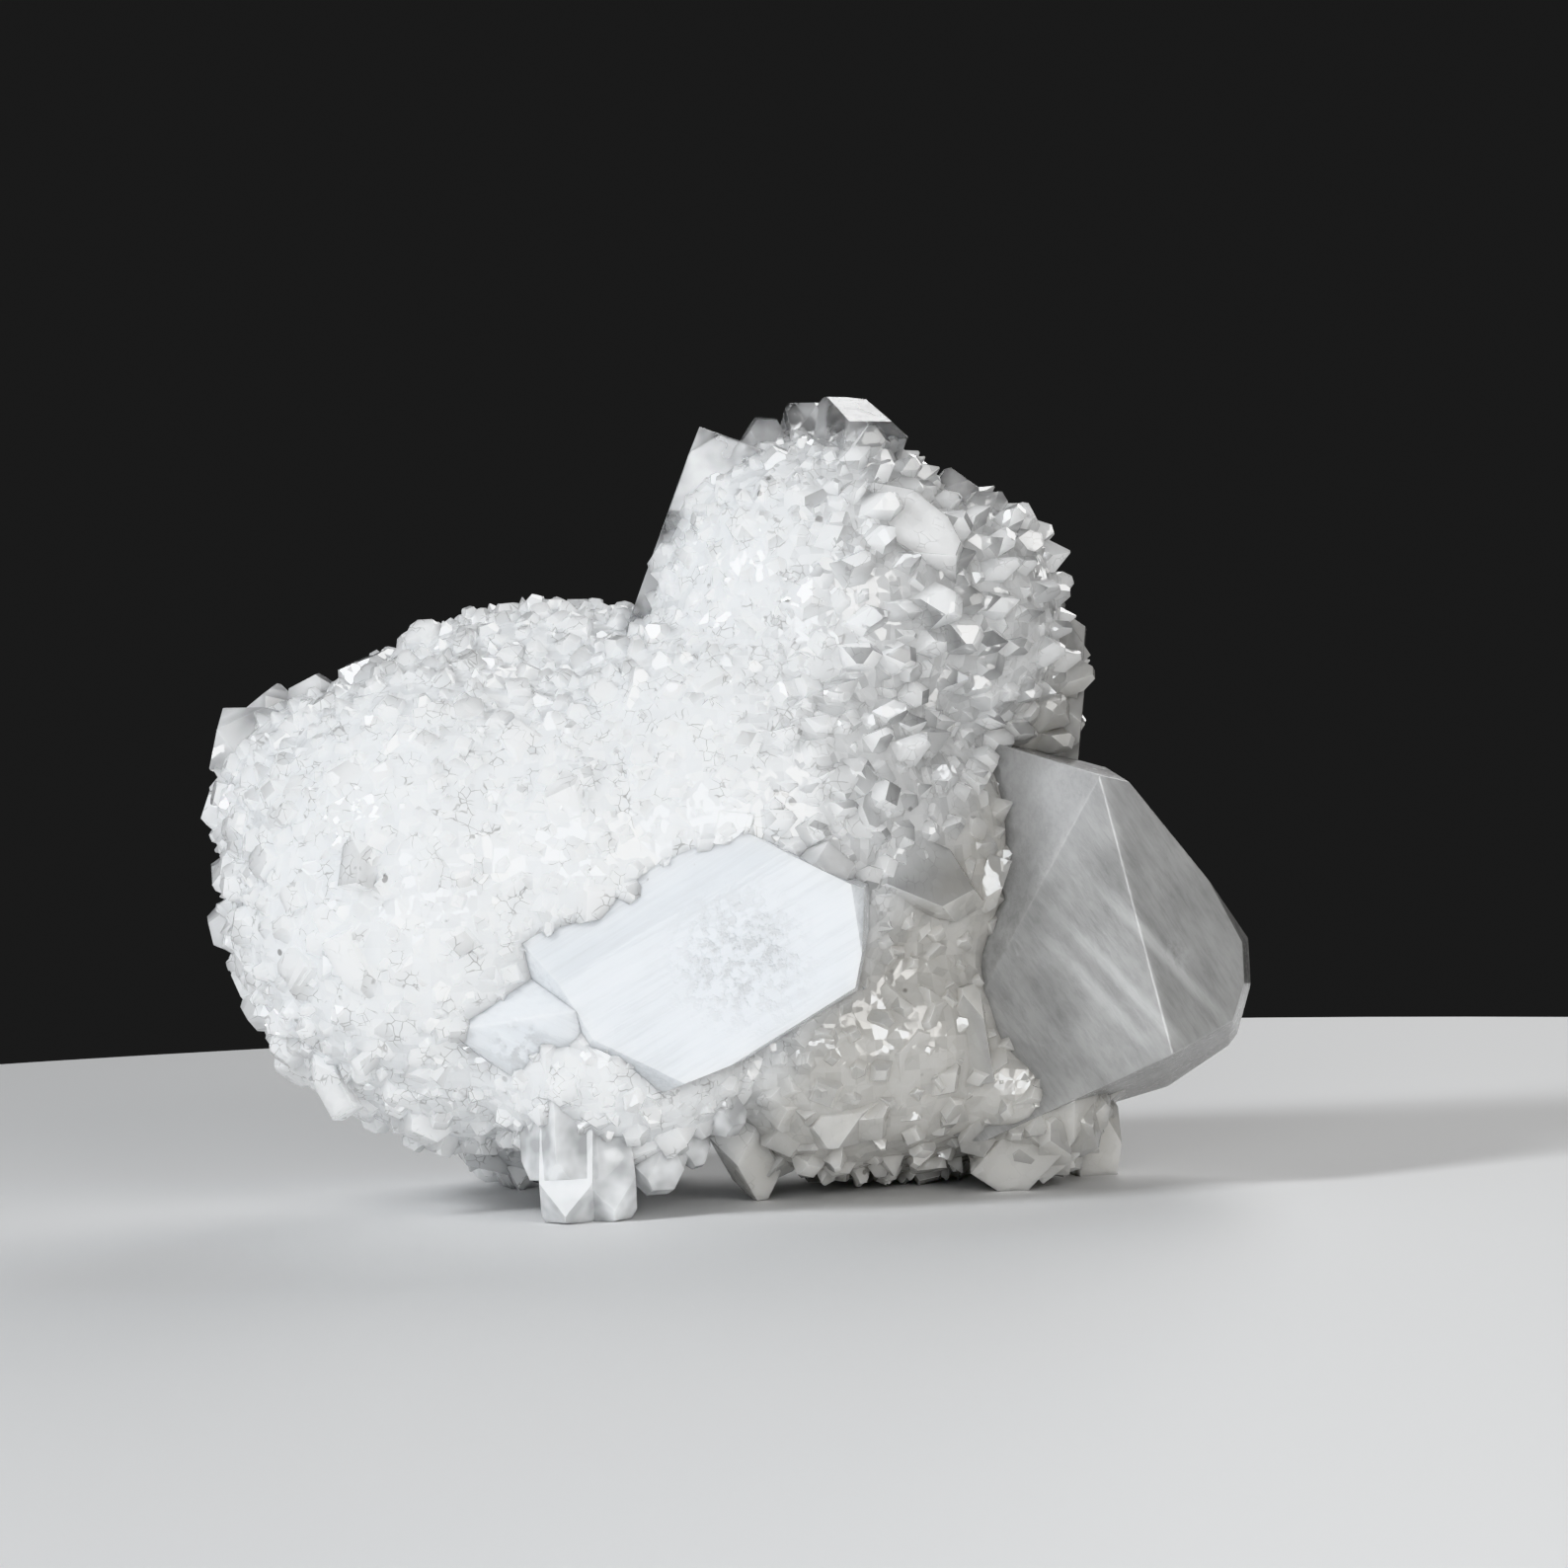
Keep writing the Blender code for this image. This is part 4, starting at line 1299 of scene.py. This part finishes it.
def clusters() -> list[Cluster]:
    """The smaller crystals that stand out of the crust, group by group."""
    clear = ClearFinish("clear_crystal")
    # Darker grey crystals for the ledge at the back right, their grey painted in for the shade that they lie in
    painted_shade_grey = ClearFinish(
        "smoky_crystal", least=0.45, most=0.85, density=20.0, tint=(0.80, 0.79, 0.77, 1), cloud=(0.56, 0.555, 0.545, 1)
    )
    veiled = ClearFinish("veiled_crystal", least=0.30, most=0.66, veil_mm=4.0)
    glazed = ClearFinish("glazed_crystal", least=0.06, most=0.42)
    frosty = ClearFinish("frosty_crystal", least=0.40, most=0.78, veil_mm=2.0, cloud=(0.86, 0.87, 0.88, 1))
    milky = MilkyFinish("milky_crystal", has_relief=False)
    # Like milky, with almost no painted shade on the right side and a lighter tone per facet
    bright = MilkyFinish(
        "bright_crystal", has_relief=False, side_painted_shade=(0.95, 0.96, 0.97, 1), shade=(0.88, 0.89, 0.90, 1)
    )
    top_gem = Block(
        (10.0, 0.0, 47.0),
        (4.4, 4.6, 4.6),
        (
            ((0.164, -0.40, 0.902), (8.8, -4.0, 49.7)),
            ((-0.889, -0.413, 0.198), (8.8, -4.0, 49.7)),
            ((0.35, -0.92, -0.10), (8.8, -4.0, 49.7)),
            ((0.70, -0.05, 0.71), (11.0, -1.0, 50.35)),
            ((0.05, 0.62, 0.78), (9.0, 0.6, 51.3)),
            ((0.93, 0.05, -0.36), (12.4, 0.0, 48.6)),
        ),
    )
    return [
        Cluster("dome_face", bright, (
            Plate(((10.2, 45.6), (12.7, 45.1), (14.8, 43.3), (15.6, 41.6), (15.2, 40.7), (12.5, 41.0), (10.0, 42.6)),
                  -7.2, (0.22, -0.90, 0.38), 4.0),
        )),
        Cluster("foot_crystals", frosty, (
            Tip((5.6, 4.4, 9.0), (-9.6, -12.6, 2.7), (0.02, -0.06, -1.0), 4, 0.80),
            Tip((3.5, 3.3, 9.0), (-10.3, -13.2, 0.0), (-0.04, -0.08, -1.0), 40, 0.42),
            Tip((3.3, 3.1, 9.0), (-7.5, -12.8, 0.0), (0.10, -0.06, -1.0), 20, 0.36),
            Tip((3.7, 3.0, 9.5), (-4.6, -11.4, 1.5), (0.10, -0.30, -1.0), 62, 0.30),
            Tip((2.8, 2.6, 7.0), (0.2, -11.0, 5.2), (0.55, -0.45, -0.70), 10, 0.30),
            Tip((2.4, 2.4, 6.0), (-2.2, -10.2, 2.9), (0.30, -0.25, -0.92), 30, 0.20),
        )),
        Cluster("low_crystals", milky, (
            Tip((5.0, 3.6, 8.0), (1.6, -4.0, 0.0), (0.14, -0.10, -1.0), 45, 0.12),
            Tip((4.0, 2.4, 7.0), (12.6, 2.0, 0.3), (0.20, -0.30, -0.95), 20, 0.30),
            Tip((5.4, 5.0, 9.0), (21.6, 2.0, 2.3), (0.50, -0.22, -0.85), 30, 0.45),
            Tip((5.6, 5.2, 9.0), (25.0, 1.0, 5.4), (0.60, -0.20, -0.78), 10, 0.50),
        )),
        Cluster("top_crystals", clear, (
            top_gem,
            Tip((3.0, 2.8, 6.0), (3.5, 1.0, 50.4), (0.10, -0.18, 0.98), 50, 0.34),
            Tip((3.1, 3.0, 7.0), (6.2, 2.0, 51.4), (0.04, -0.02, 1.0), 22, 0.42),
            Tip((2.5, 2.4, 6.0), (9.4, -2.2, 49.3), (0.02, -0.45, 0.89), 40, 0.24),
            Tip((2.6, 2.4, 6.0), (13.3, 0.0, 47.4), (0.55, -0.20, 0.81), 30, 0.30),
            Tip((2.8, 2.4, 6.0), (16.3, 1.0, 46.2), (0.60, -0.10, 0.79), 12, 0.45),
        )),
        Cluster("dome_crystal", glazed, (
            Tip((7.6, 6.6, 17.0), (2.7, 1.0, 48.6), (0.37, -0.06, 0.93), 0, 0.80),
        )),
        Cluster("ledge_crystals", painted_shade_grey, (
            Tip((8.6, 7.0, 10.0), (22.4, 8.5, 38.2), (0.83, -0.06, 0.52), 5, 0.66),
            Tip((4.6, 4.4, 8.0), (24.3, 8.0, 35.3), (0.96, -0.10, -0.10), 38, 0.34),
            Tip((6.2, 6.0, 10.0), (24.0, 9.0, 30.0), (0.98, -0.08, -0.12), 8, 0.60),
        )),
        Cluster("left_crystals", veiled, (
            Tip((4.3, 4.1, 7.0), (-32.9, 0.0, 30.7), (-0.96, -0.10, 0.24), 22, 0.50),
            Tip((3.0, 2.8, 6.0), (-32.8, -1.0, 26.2), (-0.97, -0.10, 0.05), 40, 0.28),
            Tip((3.8, 3.4, 6.5), (-33.2, -2.0, 22.0), (-0.98, -0.16, -0.02), 45, 0.20),
            Tip((3.8, 3.4, 6.5), (-33.4, -2.0, 18.3), (-0.97, -0.12, -0.20), 38, 0.30),
            Tip((3.2, 3.0, 6.0), (-31.9, -2.0, 15.0), (-0.90, -0.14, -0.42), 20, 0.35),
        )),
        Cluster("ridge_crystals", veiled, (
            Tip((4.6, 4.2, 7.0), (-19.2, 3.0, 37.1), (-0.26, -0.04, 0.96), 12, 0.36),
            Tip((3.8, 3.4, 6.0), (-23.4, 2.0, 35.6), (-0.34, -0.10, 0.93), 30, 0.55),
            Tip((3.6, 3.4, 6.0), (-27.2, 1.0, 34.3), (-0.44, -0.06, 0.90), 44, 0.40),
            Tip((3.0, 3.0, 5.0), (-30.0, 1.0, 33.4), (-0.60, -0.06, 0.80), 15, 0.45),
            Tip((3.2, 3.0, 5.0), (-12.2, 6.0, 38.7), (-0.10, 0.02, 1.0), 33, 0.40),
            Tip((2.8, 2.6, 5.0), (-9.0, 6.0, 39.2), (0.05, 0.00, 1.0), 8, 0.40),
            Tip((3.4, 3.0, 5.5), (-16.0, 0.0, 37.6), (-0.10, -0.10, 0.98), 70, 0.30),
            Tip((4.4, 3.4, 6.0), (6.9, -16.4, 21.8), (0.55, -0.66, 0.50), 35, 0.40),
        )),
        Cluster("back_crystals", milky, (
            Tip((8.5, 7.5, 13.0), (-8.0, 21.4, 24.0), (-0.20, 0.92, 0.34), 20, 0.42),
            Tip((7.0, 6.5, 12.0), (6.0, 21.8, 18.0), (0.26, 0.95, 0.10), 50, 0.36),
            Tip((6.5, 6.0, 11.0), (-2.0, 20.6, 10.6), (0.05, 0.90, -0.42), 10, 0.40),
            Tip((6.0, 5.6, 10.0), (-19.0, 16.4, 17.0), (-0.50, 0.84, -0.10), 32, 0.42),
            Tip((6.0, 5.0, 10.0), (1.0, 17.0, 35.0), (-0.10, 0.84, 0.52), 64, 0.40),
            Tip((6.4, 5.8, 10.0), (16.0, 17.6, 13.0), (0.40, 0.90, -0.10), 12, 0.40),
            Tip((6.4, 6.0, 9.0), (-12.6, 12.6, 0.0), (-0.06, 0.10, -1.0), 26, 0.70),
            Tip((5.4, 5.0, 8.0), (-17.0, 8.0, 1.6), (-0.30, 0.04, -0.95), 14, 0.40),
            Tip((7.0, 6.4, 9.0), (12.6, 9.0, 0.0), (0.10, 0.06, -1.0), 40, 0.75),
        )),
    ]


def main() -> None:
    """Builds the specimen and its studio, and logs each piece's triangle count."""
    logging.basicConfig(level=logging.INFO, format="%(message)s")
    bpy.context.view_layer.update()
    Studio().build()
    groups = [*large_crystals(), *clusters()]
    shown = [group.build() for group in groups]
    mass = Mass().build()
    crust = Crust().build(mass, [solid for group in groups for solid in group.solids])
    crust.name = "crust"
    shown.append(dress(crust, MilkyFinish("crust_milk")))
    for piece in shown:
        triangles = sum(len(p.vertices) - 2 for p in piece.data.polygons)
        log.info("%s: %d triangles", piece.name, triangles)


if __name__ == "__main__":
    main()
